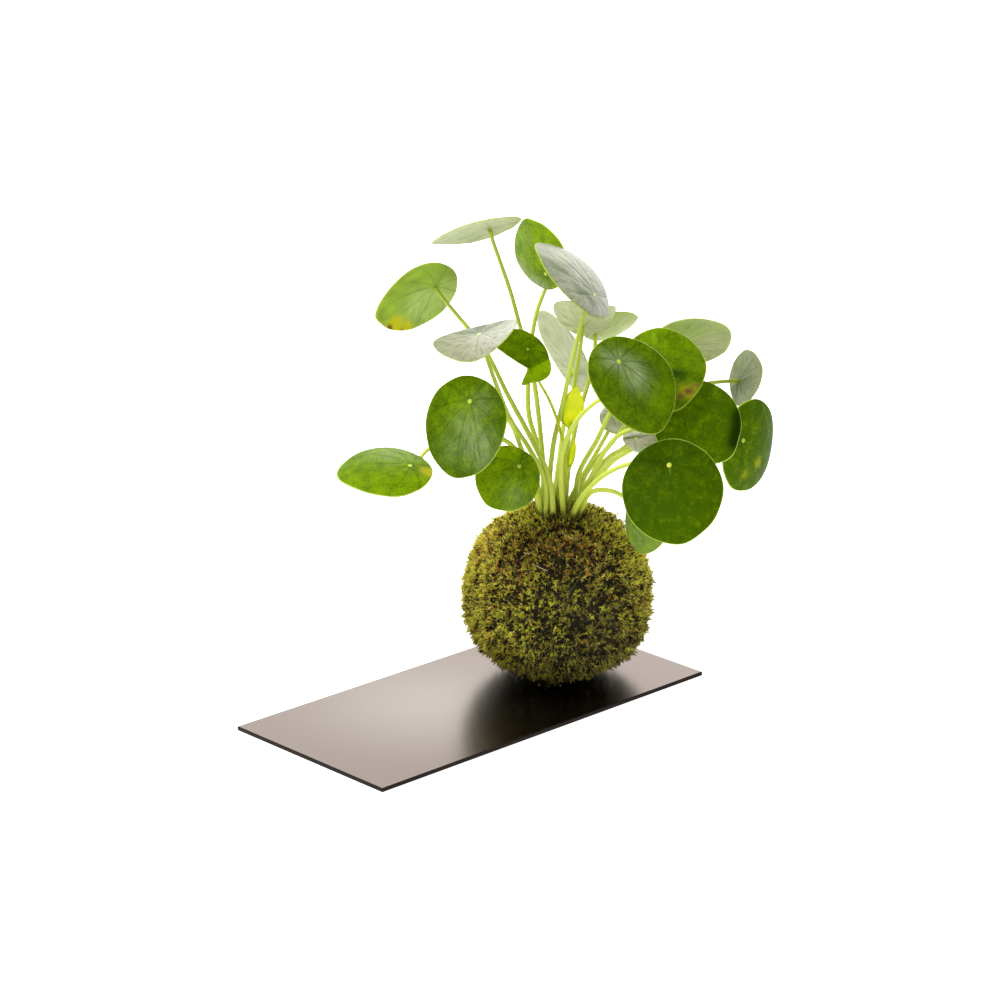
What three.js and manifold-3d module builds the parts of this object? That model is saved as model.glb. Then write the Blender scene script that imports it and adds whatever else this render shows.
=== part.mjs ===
import * as THREE from "three";
import Module from "manifold-3d";
import { mergeVertices } from "three/addons/utils/BufferGeometryUtils.js";

// Kokedama: a round-leaved plant that grows out of a ball of moss, on a thin flat plate.
// Millimetres, +Z up. The origin is the centre of the plate's underside and +X runs along its long side.
// The plant has a frame of its own: its origin is on the plate's top under the middle of the ball, its -Y is
// the plant's front, and it is turned on the plate by PLANT.turn.

const wasm = await Module();
wasm.setup();

// Driving dimensions. The steps and sides that a rounded form has stand beside its sizes.
const PLATE = { length: 300, width: 146, thickness: 3, edge: 0.4 };
const PLANT = { x: 79, y: 0, turn: -43.7 };
const GAP = 0.3;
const HAIR = 0.01;
const BALL = {
  radius: 65.5, upper: 66.4, lower: 53, fullness: 2.35, mouth: 21, rest: 2, sides: 44, rows: 20,
};
const HOLLOW = { wall: 9, rows: 10, filled: 8 };
const CROWN = { x: 2, y: -1, neck: 5, radius: 15, foot: 70, flare: 103, shoulder: 106, top: 110, sides: 16 };
const STALK = {
  foot: 2, tip: 1.3, knee: 7, lean: 0.35, wrist: 7, hook: 1.2, seat: 0.45, sides: 6, steps: 12,
};
const BLADE = {
  thickness: 0.8, breadth: 0.96, narrowing: 0.06, offset: 0.25, point: 0.06, wave: 0.6,
  sides: 20, rings: [0, 0.4, 0.75, 1],
};
const YOUNG = { stem: 1.3, roundness: 0.8, sides: 8, steps: 14 };
const THREAD = { radius: 0.4, stand: 1.5, loops: 3, tilt: 56, turn: 20, sides: 4, steps: 40 };

// The rings of stalk feet on top of the crown, by radius
const RINGS = { inner: 3.8, middle: 8.1, outer: 12.4 };

// The leaves, each as it stands in the plant's frame. at is where the stalk meets the blade. turn is the
// tip's bearing (0 is +X, 90 is +Y), its dip below the horizon and the bank about the midrib, in degrees.
// bow is how far the blade bows down along its length and across it. foot is the stalk's ring and bearing
// on the crown, and via the points that the stalk passes on its way.
const LEAVES = [
  { at: [-47, 15, 313], turn: [-129, -12, 27], length: 64, bow: [3, 2],
    foot: ["middle", 182], via: [[-11, 3, 160], [-18, 7, 216], [-27, 10, 249], [-33, 11, 271]] },
  { at: [-84, 0, 277], turn: [-158, 9, 60], length: 61, bow: [7, 6],
    foot: ["outer", 250], via: [[-6, -18, 146], [-18, -13, 172], [-35, -9, 204], [-50, -4, 233]] },
  { at: [-54, -30, 252], turn: [-94, 5, 15], length: 60, bow: [1, -6],
    foot: ["outer", 228], via: [[-9, -13, 142], [-19, -18, 166], [-33, -21, 190], [-42, -25, 214]] },
  { at: [-21, -18, 238], turn: [-119, 28, -42], length: 46, bow: [-4, -2],
    foot: ["inner", 270], via: [[5, -12, 156], [1, -12, 179], [-6, -14, 200]] },
  { at: [-60, -61, 214], turn: [-138, 69, -13], length: 67, bow: [4, 3],
    foot: ["outer", 187], via: [[-14, -16, 140], [-25, -25, 169], [-34, -32, 192]] },
  { at: [-101, -25, 158], turn: [-174, -6, -15], length: 63, bow: [7, 7],
    foot: ["outer", 165], via: [[-18, -3, 138], [-33, -4, 167], [-60, -1, 173], [-89, 6, 160]] },
  { at: [-27, -45, 164], turn: [-139, 34, -52], length: 46, bow: [1, 6],
    foot: ["outer", 207], via: [[-16, -27, 141]] },
  { at: [-9, 30, 278], turn: [162, -56, -116], length: 50, bow: [6, 6],
    foot: ["middle", 146], via: [[-13, 11, 158], [-20, 15, 182], [-20, 26, 211], [-15, 45, 245]] },
  { at: [24, -12, 274], turn: [164, -50, -2], length: 66, bow: [7, 4],
    foot: ["middle", 218], via: [[-4, -7, 163], [3, -5, 197], [10, -10, 232]] },
  { at: [17, 36, 240], turn: [-83, -45, -8], length: 45, bow: [2, -8],
    foot: ["inner", 126], via: [[7, 16, 163], [12, 27, 205], [15, 31, 222]] },
  { at: [26, 56, 230], turn: [7, 3, -44], length: 40, bow: [-7, -5],
    foot: ["middle", 80], via: [[13, 31, 170], [22, 43, 199], [26, 51, 218]] },
  { at: [14, 71, 198], turn: [149, -60, 54], length: 63, bow: [4, 2],
    foot: ["middle", 114], via: [[4, 44, 162]] },
  { at: [39, -56, 240], turn: [-44, 52, 6], length: 70, bow: [0, -4],
    foot: ["middle", 278], via: [[2, -30, 167], [10, -35, 190], [22, -42, 206], [35, -48, 217]] },
  { at: [62, -12, 235], turn: [-61, 39, 34], length: 63, bow: [0, 12],
    foot: ["middle", 12], via: [[14, -2, 144], [27, -5, 171], [38, -8, 196]] },
  { at: [81, 36, 225], turn: [-16, -33, -51], length: 54, bow: [6, 4],
    foot: ["outer", 14], via: [[18, 9, 138], [38, 17, 162], [57, 24, 186]] },
  { at: [83, -30, 203], turn: [-42, 33, 41], length: 61, bow: [6, 8],
    foot: ["middle", 342], via: [[22, -11, 144], [40, -19, 177], [69, -22, 189]] },
  { at: [126, 42, 198], turn: [-57, -28, -107], length: 41, bow: [1, 2],
    foot: ["outer", 40], via: [[24, 14, 138], [47, 21, 157], [66, 30, 166], [92, 34, 195]] },
  { at: [127, 0, 168], turn: [45, 29, 86], length: 67, bow: [9, 7],
    foot: ["outer", 352], via: [[21, -2, 134], [35, 0, 156], [56, 1, 164]] },
  { at: [72, -81, 176], turn: [-79, 57, 15], length: 70, bow: [0, 10],
    foot: ["outer", 302], via: [[17, -30, 139], [33, -47, 160], [54, -65, 173]] },
  { at: [59, -51, 137], turn: [-120, 70, 13], length: 41, bow: [3, 4],
    foot: ["outer", 328], via: [[23, -24, 139], [35, -25, 140], [48, -24, 134]] },
  { at: [38, 36, 177], turn: [-14, -5, 27], length: 37, bow: [4, 4],
    foot: ["outer", 68], via: [[28, 27, 153]] },
  { at: [53, -20, 176], turn: [14, -5, 13], length: 37, bow: [4, 4],
    foot: ["middle", 314], via: [[37, -19, 158]] },
];

// The two young leaves, still folded on their stalks: the foot's bearing on the inner ring, the tip, the
// greatest half width and half depth, and how far up the stalk the leaf begins
const SPEARS = [
  { foot: 54, tip: [13, 4, 206], width: 7.2, depth: 2.4, leaf: 0.7 },
  { foot: 342, tip: [11, -16, 174], width: 3, depth: 1.8, leaf: 0.6 },
];

const radians = THREE.MathUtils.degToRad;
const OFF_CENTRE = new THREE.Vector3(CROWN.x, CROWN.y, 0);
const twoDigits = (number) => String(number).padStart(2, "0");

// Finishes
function finish(color, roughness, metalness = 0) {
  return new THREE.MeshStandardMaterial({ color, roughness, metalness });
}
const SATIN_BLACK = finish(0x1c1b1a, 0.3, 0.2);
const MOSS = finish(0x7d6f2a, 1);
const SOIL_BROWN = finish(0x3a2c20, 1);
const WOODY = finish(0x7a6a45, 0.8);
const LIME = finish(0x9fb52a, 0.5);
const LEAF_GREEN = finish(0x4f7d12, 0.4);
const BUD_YELLOW = finish(0xcfd022, 0.5);
const STRAND = finish(0xb9b48e, 0.7);

const part = new THREE.Group();
const plant = new THREE.Group();
plant.position.set(PLANT.x, PLANT.y, PLATE.thickness);
plant.rotation.z = radians(PLANT.turn);
part.add(plant);

// Hangs a named mesh under a group
function add(parent, name, geometry, material) {
  const mesh = new THREE.Mesh(geometry, material);
  mesh.name = name;
  parent.add(mesh);
  return mesh;
}

// Moves every vertex of a geometry to move(vertex)
function reshape(geometry, move) {
  const position = geometry.getAttribute("position");
  const point = new THREE.Vector3();
  for (let i = 0; i < position.count; i += 1) {
    const moved = move(point.fromBufferAttribute(position, i));
    position.setXYZ(i, moved.x, moved.y, moved.z);
  }
  return geometry;
}

// A turned solid about +Z from a profile of [radius, height] pairs
function turned(profile, sides) {
  const points = profile.map(([radius, height]) => new THREE.Vector2(radius, height));
  return new THREE.LatheGeometry(points, sides).rotateX(Math.PI / 2);
}

// The plate, a thin slab with a fine bevel round both faces
function plateGeometry() {
  const x = PLATE.length / 2 - PLATE.edge;
  const y = PLATE.width / 2 - PLATE.edge;
  const outline = new THREE.Shape([
    new THREE.Vector2(-x, -y),
    new THREE.Vector2(x, -y),
    new THREE.Vector2(x, y),
    new THREE.Vector2(-x, y),
  ]);
  const bevel = { bevelThickness: PLATE.edge, bevelSize: PLATE.edge, bevelSegments: 1 };
  const sheet = new THREE.ExtrudeGeometry(outline, { depth: PLATE.thickness - 2 * PLATE.edge, ...bevel });
  return sheet.translate(0, 0, PLATE.edge);
}

// Moss ball: how far its surface stands out or in at a bearing and a height
function tussock(bearing, height) {
  const broad = Math.sin(3 * bearing + 0.05 * height) * Math.sin(0.06 * height + 0.8);
  const small = Math.sin(8 * bearing - 0.11 * height) * Math.sin(0.17 * height + 2 * bearing);
  const fine = Math.sin(15 * bearing + 0.3 * height) * Math.cos(0.29 * height - 5 * bearing);
  return 0.8 * broad + 0.7 * small + 0.5 * fine;
}

// One half size of a full round form from the other: both are shares of their greatest size
function otherShare(share) {
  return Math.max(0, 1 - share ** BALL.fullness) ** (1 / BALL.fullness);
}

// The ball's radius at a height above the plate, drawn in by an inset
function ballRadius(inset, height) {
  const half = height > BALL.lower ? BALL.upper : BALL.lower;
  return (BALL.radius - inset) * otherShare(Math.abs(height - BALL.lower) / (half - inset));
}

// The [radius, height] pairs of the ball's side from a height up to its mouth, drawn in by an inset
function ballProfile(inset, low, rows) {
  const high = otherShare(BALL.mouth / (BALL.radius - inset));
  const start = Math.acos(((BALL.lower - low) / (BALL.lower - inset)) ** (BALL.fullness / 2));
  const end = Math.PI - Math.acos(high ** (BALL.fullness / 2));
  return Array.from({ length: rows + 1 }, (_, row) => {
    const level = -Math.cos(start + ((end - start) * row) / rows);
    const half = (level > 0 ? BALL.upper : BALL.lower) - inset;
    const height = BALL.lower + Math.sign(level) * half * Math.abs(level) ** (2 / BALL.fullness);
    return [ballRadius(inset, height), height];
  });
}

// The hollow in the moss from its floor to its mouth, drawn in by an inset
function hollowProfile(inset) {
  const [, ...side] = ballProfile(HOLLOW.wall + inset, HOLLOW.wall + inset, HOLLOW.rows);
  return [[0, HOLLOW.wall + inset], ...side];
}

// The ball of moss, open at the mouth, with tussocks over its skin
function mossGeometry() {
  const skin = ballProfile(0, GAP, BALL.rows);
  const shell = turned([[0, GAP], ...skin, ...hollowProfile(0).reverse()], BALL.sides);
  return reshape(shell, (p) => {
    const out = Math.hypot(p.x, p.y);
    const onSkin = Math.abs(out - ballRadius(0, p.z)) < HAIR;
    const shaggy = onSkin && out > BALL.mouth - HAIR && p.z > BALL.rest;
    const full = shaggy ? 1 + tussock(Math.atan2(p.y, p.x), p.z) / out : 1;
    return p.set(p.x * full, p.y * full, p.z);
  });
}

// Soil and roots that fill the moss nearly to its mouth, with a plain hole for the neck of the crown
function soilGeometry() {
  const side = hollowProfile(GAP).slice(0, HOLLOW.filled + 1);
  const top = side[HOLLOW.filled][1];
  const hole = CROWN.neck + GAP;
  const floor = CROWN.foot - GAP;
  const soil = turned([...side, [hole, top], [hole, floor], [0, floor]], BALL.sides);
  const inHole = (p) => Math.hypot(p.x, p.y) < hole + HAIR && p.z > floor - HAIR;
  return reshape(soil, (p) => (inHole(p) ? p.add(OFF_CENTRE) : p));
}

// The short woody crown that every stalk grows from
function crownGeometry() {
  const { neck, radius, foot, flare, shoulder, top, sides } = CROWN;
  const profile = [[0, foot], [neck, foot], [neck, flare], [radius, shoulder], [radius, top], [0, top]];
  return turned(profile, sides).translate(OFF_CENTRE.x, OFF_CENTRE.y, 0);
}

// Bends an upright rod of unit radius and unit height along a curve that lies near the upright plane of a
// bearing. widths(t) gives its half width across that plane and its half depth in it.
function bentRod(curve, bearing, widths, sides, steps) {
  const across = new THREE.Vector3(-Math.sin(bearing), Math.cos(bearing), 0);
  const rod = new THREE.CylinderGeometry(1, 1, 1, sides, steps).translate(0, 0.5, 0);
  return reshape(rod, (p) => {
    const t = THREE.MathUtils.clamp(p.y, 0, 1);
    const along = curve.getTangentAt(t);
    const depth = new THREE.Vector3().crossVectors(across, along).normalize();
    const side = new THREE.Vector3().crossVectors(along, depth);
    const [wide, deep] = widths(t);
    return curve.getPointAt(t).addScaledVector(side, p.x * wide).addScaledVector(depth, p.z * deep);
  });
}

// The turn of a leaf blade: +X is its tip, +Z the side its upper face looks to
function bladeTurn({ turn: [bearing, dip, bank] }) {
  return new THREE.Euler(radians(bank), radians(dip), radians(bearing), "ZYX");
}

// The level direction of a bearing in degrees
function heading(bearing) {
  return new THREE.Vector3(Math.cos(radians(bearing)), Math.sin(radians(bearing)), 0);
}

// A foot on top of the crown, by its ring and bearing, with the lift that its lean needs
function crownSpot(ring, bearing, lift) {
  const height = CROWN.top + GAP + lift;
  return new THREE.Vector3(CROWN.x, CROWN.y, height).addScaledVector(heading(bearing), RINGS[ring]);
}

// A leaf stalk: up from its foot on the crown, by the points on its way, and round to the blade's underside
function stalkGeometry(leaf) {
  const [ring, bearing] = leaf.foot;
  const foot = crownSpot(ring, bearing, STALK.foot * STALK.lean);
  const knee = foot.clone().add(heading(bearing).multiplyScalar(STALK.lean * STALK.knee));
  knee.z += STALK.knee;
  const way = leaf.via.map((point) => new THREE.Vector3(...point));
  const at = new THREE.Vector3(...leaf.at);
  const down = new THREE.Vector3(0, 0, -1).applyEuler(bladeTurn(leaf));
  const back = way.at(-1).clone().sub(at).normalize().addScaledVector(down, STALK.hook).normalize();
  const slant = Math.sqrt(1 - back.dot(down) ** 2);
  const end = at.clone().addScaledVector(down, BLADE.thickness / 2 + STALK.seat + STALK.tip * slant);
  const wrist = end.clone().addScaledVector(back, STALK.wrist);
  const curve = new THREE.CatmullRomCurve3([foot, knee, ...way, wrist, end], false, "centripetal");
  const plane = Math.atan2(at.y - foot.y, at.x - foot.x);
  const widths = (t) => Array(2).fill(THREE.MathUtils.lerp(STALK.foot, STALK.tip, t));
  return bentRod(curve, plane, widths, STALK.sides, STALK.steps);
}

// A leaf blade in its own frame, with its stalk's end at the origin
function bladeGeometry(leaf, index) {
  const { thickness, sides, rings, breadth, narrowing, offset, point } = BLADE;
  const [along, across] = leaf.bow;
  const half = leaf.length / 2;
  const upper = rings.map((ring) => [ring, thickness / 2]);
  const lower = rings.map((ring) => [ring, -thickness / 2]);
  const disc = turned([...lower, ...upper.reverse()], sides);
  return reshape(disc, (p) => {
    const reach = Math.hypot(p.x, p.y);
    const angle = Math.atan2(p.y, p.x);
    const beak = 1 + point * reach * Math.max(0, Math.cos(angle)) ** 12;
    const x = half * (2 * offset + p.x * beak);
    const y = half * breadth * p.y * (1 - narrowing * p.x);
    const fall = (along * (x - half * offset) ** 2 + across * y ** 2) / half ** 2 - along * offset ** 2;
    const wave = BLADE.wave * reach ** 3 * Math.sin(3 * angle + 2.4 * index);
    return p.set(x, y, p.z - fall + wave);
  });
}

// A young leaf, folded shut on its own stalk
function spearGeometry({ foot, tip, width, depth, leaf }) {
  const start = crownSpot("inner", foot, 0);
  const end = new THREE.Vector3(...tip);
  const middle = new THREE.Vector3(start.x, start.y, (start.z + end.z) / 2);
  const curve = new THREE.QuadraticBezierCurve3(start, middle, end);
  const { stem, roundness, sides, steps } = YOUNG;
  const widths = (t) => {
    const up = Math.max(0, (t - leaf) / (1 - leaf));
    const swell = Math.sin(Math.PI * up ** roundness) ** roundness;
    return [stem + (width - stem) * swell, stem + (depth - stem) * swell];
  };
  return bentRod(curve, Math.PI / 2, widths, sides, steps);
}

// How far the ball's skin is from its middle in a direction
function ballReach(way) {
  const half = way.z > 0 ? BALL.upper : BALL.lower;
  const flat = Math.hypot(way.x, way.y) / BALL.radius;
  return (flat ** BALL.fullness + Math.abs(way.z / half) ** BALL.fullness) ** (-1 / BALL.fullness);
}

// The thread that binds the moss: tilted loops, joined where they cross
function threadGeometry() {
  const loops = Array.from({ length: THREAD.loops }, (_, i) => {
    const lean = radians((360 / THREAD.loops) * i + THREAD.turn);
    const tilt = new THREE.Matrix4().makeRotationZ(lean);
    tilt.multiply(new THREE.Matrix4().makeRotationX(radians(THREAD.tilt)));
    const ring = new THREE.TorusGeometry(1, THREAD.radius, THREAD.sides, THREAD.steps);
    reshape(ring, (p) => {
      const turn = Math.atan2(p.y, p.x);
      const off = Math.hypot(p.x, p.y) - 1;
      const way = new THREE.Vector3(Math.cos(turn), Math.sin(turn), 0).applyMatrix4(tilt);
      const binormal = new THREE.Vector3(0, 0, 1).applyMatrix4(tilt);
      const spot = new THREE.Vector3(0, 0, BALL.lower).addScaledVector(way, ballReach(way));
      const stand = tussock(Math.atan2(spot.y, spot.x), spot.z) + THREAD.stand;
      return spot.addScaledVector(way, stand + off).addScaledVector(binormal, p.z);
    });
    return toSolid(ring);
  });
  return fromSolid(loops.reduce((all, loop) => all.add(loop)));
}

// A closed geometry as a solid that can be joined
function toSolid(geometry) {
  const bare = geometry.clone();
  bare.deleteAttribute("normal");
  bare.deleteAttribute("uv");
  const merged = mergeVertices(bare);
  const vertProperties = merged.attributes.position.array;
  const triVerts = new Uint32Array(merged.index.array);
  return new wasm.Manifold(new wasm.Mesh({ numProp: 3, vertProperties, triVerts }));
}

// A solid as a geometry again
function fromSolid(solid) {
  const { vertProperties, triVerts } = solid.getMesh();
  const geometry = new THREE.BufferGeometry();
  geometry.setAttribute("position", new THREE.BufferAttribute(vertProperties, 3));
  geometry.setIndex(new THREE.BufferAttribute(triVerts, 1));
  return geometry;
}

add(part, "base_plate", plateGeometry(), SATIN_BLACK);
add(plant, "moss_ball", mossGeometry(), MOSS);
add(plant, "soil_core", soilGeometry(), SOIL_BROWN);
add(plant, "plant_crown", crownGeometry(), WOODY);
add(plant, "binding_thread", threadGeometry(), STRAND);
LEAVES.forEach((leaf, index) => {
  const blade = add(plant, `leaf_blade_${twoDigits(index + 1)}`, bladeGeometry(leaf, index), LEAF_GREEN);
  blade.position.set(...leaf.at);
  blade.setRotationFromEuler(bladeTurn(leaf));
  add(plant, `leaf_stalk_${twoDigits(index + 1)}`, stalkGeometry(leaf), LIME);
});
SPEARS.forEach((spear, index) => {
  add(plant, `young_leaf_${twoDigits(index + 1)}`, spearGeometry(spear), BUD_YELLOW);
});

export default part;
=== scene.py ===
"""Kokedama: a round-leaved plant that grows out of a ball of moss on a thin black plate.

Sizes are millimetres in the plant's own frame: its origin is on the plate's top under the middle of the ball,
+Z is up and -Y is the plant's front. Meshes are written in metres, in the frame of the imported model.
"""

import logging
import math
from dataclasses import dataclass, replace
from enum import Enum
from typing import Callable, Sequence

import bpy
import numpy as np
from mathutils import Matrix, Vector


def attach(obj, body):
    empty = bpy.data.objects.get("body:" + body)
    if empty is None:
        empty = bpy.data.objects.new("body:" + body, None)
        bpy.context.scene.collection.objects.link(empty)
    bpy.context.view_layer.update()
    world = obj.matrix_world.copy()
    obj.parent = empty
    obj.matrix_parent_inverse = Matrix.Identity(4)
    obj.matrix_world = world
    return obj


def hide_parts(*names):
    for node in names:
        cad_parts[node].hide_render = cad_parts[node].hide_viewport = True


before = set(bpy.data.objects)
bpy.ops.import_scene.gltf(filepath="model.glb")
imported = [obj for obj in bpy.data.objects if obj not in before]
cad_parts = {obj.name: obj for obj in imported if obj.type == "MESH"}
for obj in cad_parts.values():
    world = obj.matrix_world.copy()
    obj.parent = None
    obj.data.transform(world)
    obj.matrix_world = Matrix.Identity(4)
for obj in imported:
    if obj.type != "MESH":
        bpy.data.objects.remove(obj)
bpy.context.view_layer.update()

Array = np.ndarray
Point = tuple[float, float, float]
Colour = tuple[float, float, float]
Pair = tuple[float, float]
Socket = bpy.types.NodeSocket
Sockets = dict[str, Socket]
Value = float | Sequence[float] | Socket

METRES = 0.001
log = logging.getLogger("kokedama")

# The plant's place on the plate
PLANT_PLACE = np.array([79.0, 0.0, 3.0])
PLANT_TURN = math.radians(-43.7)

# The turn in radians from each of many things to the next that spreads them evenly
EVEN_TURN = math.pi * (3 - math.sqrt(5))

# The moss's clumps are a sum of this many waves, each turned so many degrees from the last
WAVES = 11
WAVE_TURN = 137.5

# Where an aged leaf's yellow and brown set in, on the values that the mesh carries
YELLOW_EDGES = (0.3, 0.8)
BROWN_EDGES = (0.45, 0.75)


class Slot(Enum):
    """Material slots, one for each kind of piece made here."""

    MOSS = "moss"
    CROWN = "crown"
    THREAD = "thread"
    LEAF = "leaf"
    STALK = "stalk"
    YOUNG_LEAF = "young_leaf"


class Ring(Enum):
    """The rings of stalk feet on top of the crown, by radius."""

    INNER = 3.8
    MIDDLE = 8.1
    OUTER = 12.4


def turn_about(axis: int, angle: float) -> Array:
    """The matrix of a turn.

    Args:
        axis: 0, 1 or 2 for X, Y or Z.
        angle: the turn in radians.

    Returns:
        A 3 by 3 rotation matrix.
    """
    c, s = math.cos(angle), math.sin(angle)
    i, j = [(1, 2), (2, 0), (0, 1)][axis]
    matrix = np.eye(3)
    matrix[i, i] = matrix[j, j] = c
    matrix[i, j], matrix[j, i] = -s, s
    return matrix


def to_model(points: Array) -> Array:
    """Points of the plant's frame in the model's frame, still in millimetres."""
    return points @ turn_about(2, PLANT_TURN).T + PLANT_PLACE


def heading(bearing: float) -> Array:
    """The level unit vector of a bearing in degrees."""
    return np.array([math.cos(math.radians(bearing)), math.sin(math.radians(bearing)), 0.0])


def unit(vectors: Array) -> Array:
    """Vectors scaled to unit length, along the last axis."""
    return vectors / np.maximum(np.linalg.norm(vectors, axis=-1, keepdims=True), 1e-12)


def smooth(low: float, high: float, value: Array) -> Array:
    """A smooth step from 0 at low to 1 at high."""
    t = np.clip((value - low) / (high - low), 0.0, 1.0)
    return t * t * (3.0 - 2.0 * t)


def clumps(points: Array) -> Array:
    """Uneven clumps a few millimetres across: the sum of waves that cross from many sides.

    Args:
        points: places in the plant's frame.

    Returns:
        A number for each place, from -1 in the gaps to 1.
    """
    total = np.zeros(len(points))
    for number in range(WAVES):
        rise = 1 - (2 * number + 1) / WAVES
        way = heading(WAVE_TURN * number) * math.sqrt(1 - rise**2) + [0, 0, rise]
        total += np.sin((0.7 + 0.06 * number) * points @ way + 2.0 * number)
    return np.clip(0.5 * total, -1, 1)


def ring_faces(rows: int, sides: int, loop: bool = False) -> Array:
    """Quads that join rings of points, each ring to the next.

    Args:
        rows: how many rings there are.
        sides: how many points a ring has.
        loop: whether the last ring joins the first.

    Returns:
        Point numbers, four for each face.
    """
    row = np.arange(rows if loop else rows - 1)[:, None]
    here = np.arange(sides)[None, :]
    after = (here + 1) % sides
    up = (row + 1) % rows
    corners = [row * sides + here, row * sides + after, up * sides + after, up * sides + here]
    return np.stack(np.broadcast_arrays(*corners), -1).reshape(-1, 4)


def closed_skin(rings: Array, start: Array, end: Array) -> tuple[Array, Array, Array]:
    """Closes a stack of rings with one point at each end.

    Args:
        rings: the points, as rows by sides by 3.
        start: the point that closes the first ring.
        end: the point that closes the last ring.

    Returns:
        The points, the quads between the rings and the triangles at both ends.
    """
    rows, sides = rings.shape[:2]
    points = np.concatenate([rings.reshape(-1, 3), [start], [end]])
    here = np.arange(sides)
    after = (here + 1) % sides
    first = np.stack([np.full(sides, rows * sides), after, here], -1)
    last = np.stack([np.full(sides, rows * sides + 1), here, after], -1)
    last[:, 1:] += (rows - 1) * sides
    return points, ring_faces(rows, sides), np.concatenate([first, last])


@dataclass
class Form:
    """A mesh in the making: points in the plant's frame, groups of faces and values at the points."""

    points: Array
    faces: list[Array]
    finish_of: list[Array]
    values: dict[str, Array]

    @staticmethod
    def of(points: Array, *faces: Array, **values: Array) -> "Form":
        """A form whose faces all wear the first finish."""
        return Form(points, list(faces), [np.zeros(len(f), int) for f in faces], values)

    def mesh(self, name: str) -> bpy.types.Mesh:
        """The form as a Blender mesh.

        Args:
            name: the mesh's name.

        Returns:
            The mesh, in metres in the model's frame.
        """
        mesh = bpy.data.meshes.new(name)
        corners = np.concatenate([f.ravel() for f in self.faces])
        sizes = np.concatenate([np.full(len(f), f.shape[1]) for f in self.faces])
        mesh.vertices.add(len(self.points))
        mesh.vertices.foreach_set("co", (to_model(self.points) * METRES).astype(np.float32).ravel())
        mesh.loops.add(len(corners))
        mesh.loops.foreach_set("vertex_index", corners.astype(np.int32))
        mesh.polygons.add(len(sizes))
        mesh.polygons.foreach_set("loop_start", (np.cumsum(sizes) - sizes).astype(np.int32))
        mesh.polygons.foreach_set("material_index", np.concatenate(self.finish_of).astype(np.int32))
        mesh.polygons.foreach_set("use_smooth", np.ones(len(sizes), bool))
        for label, value in self.values.items():
            wide = value.ndim == 2
            layer = mesh.attributes.new(label, "FLOAT_VECTOR" if wide else "FLOAT", "POINT")
            layer.data.foreach_set("vector" if wide else "value", value.astype(np.float32).ravel())
        mesh.update(calc_edges=True)
        return mesh


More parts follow.
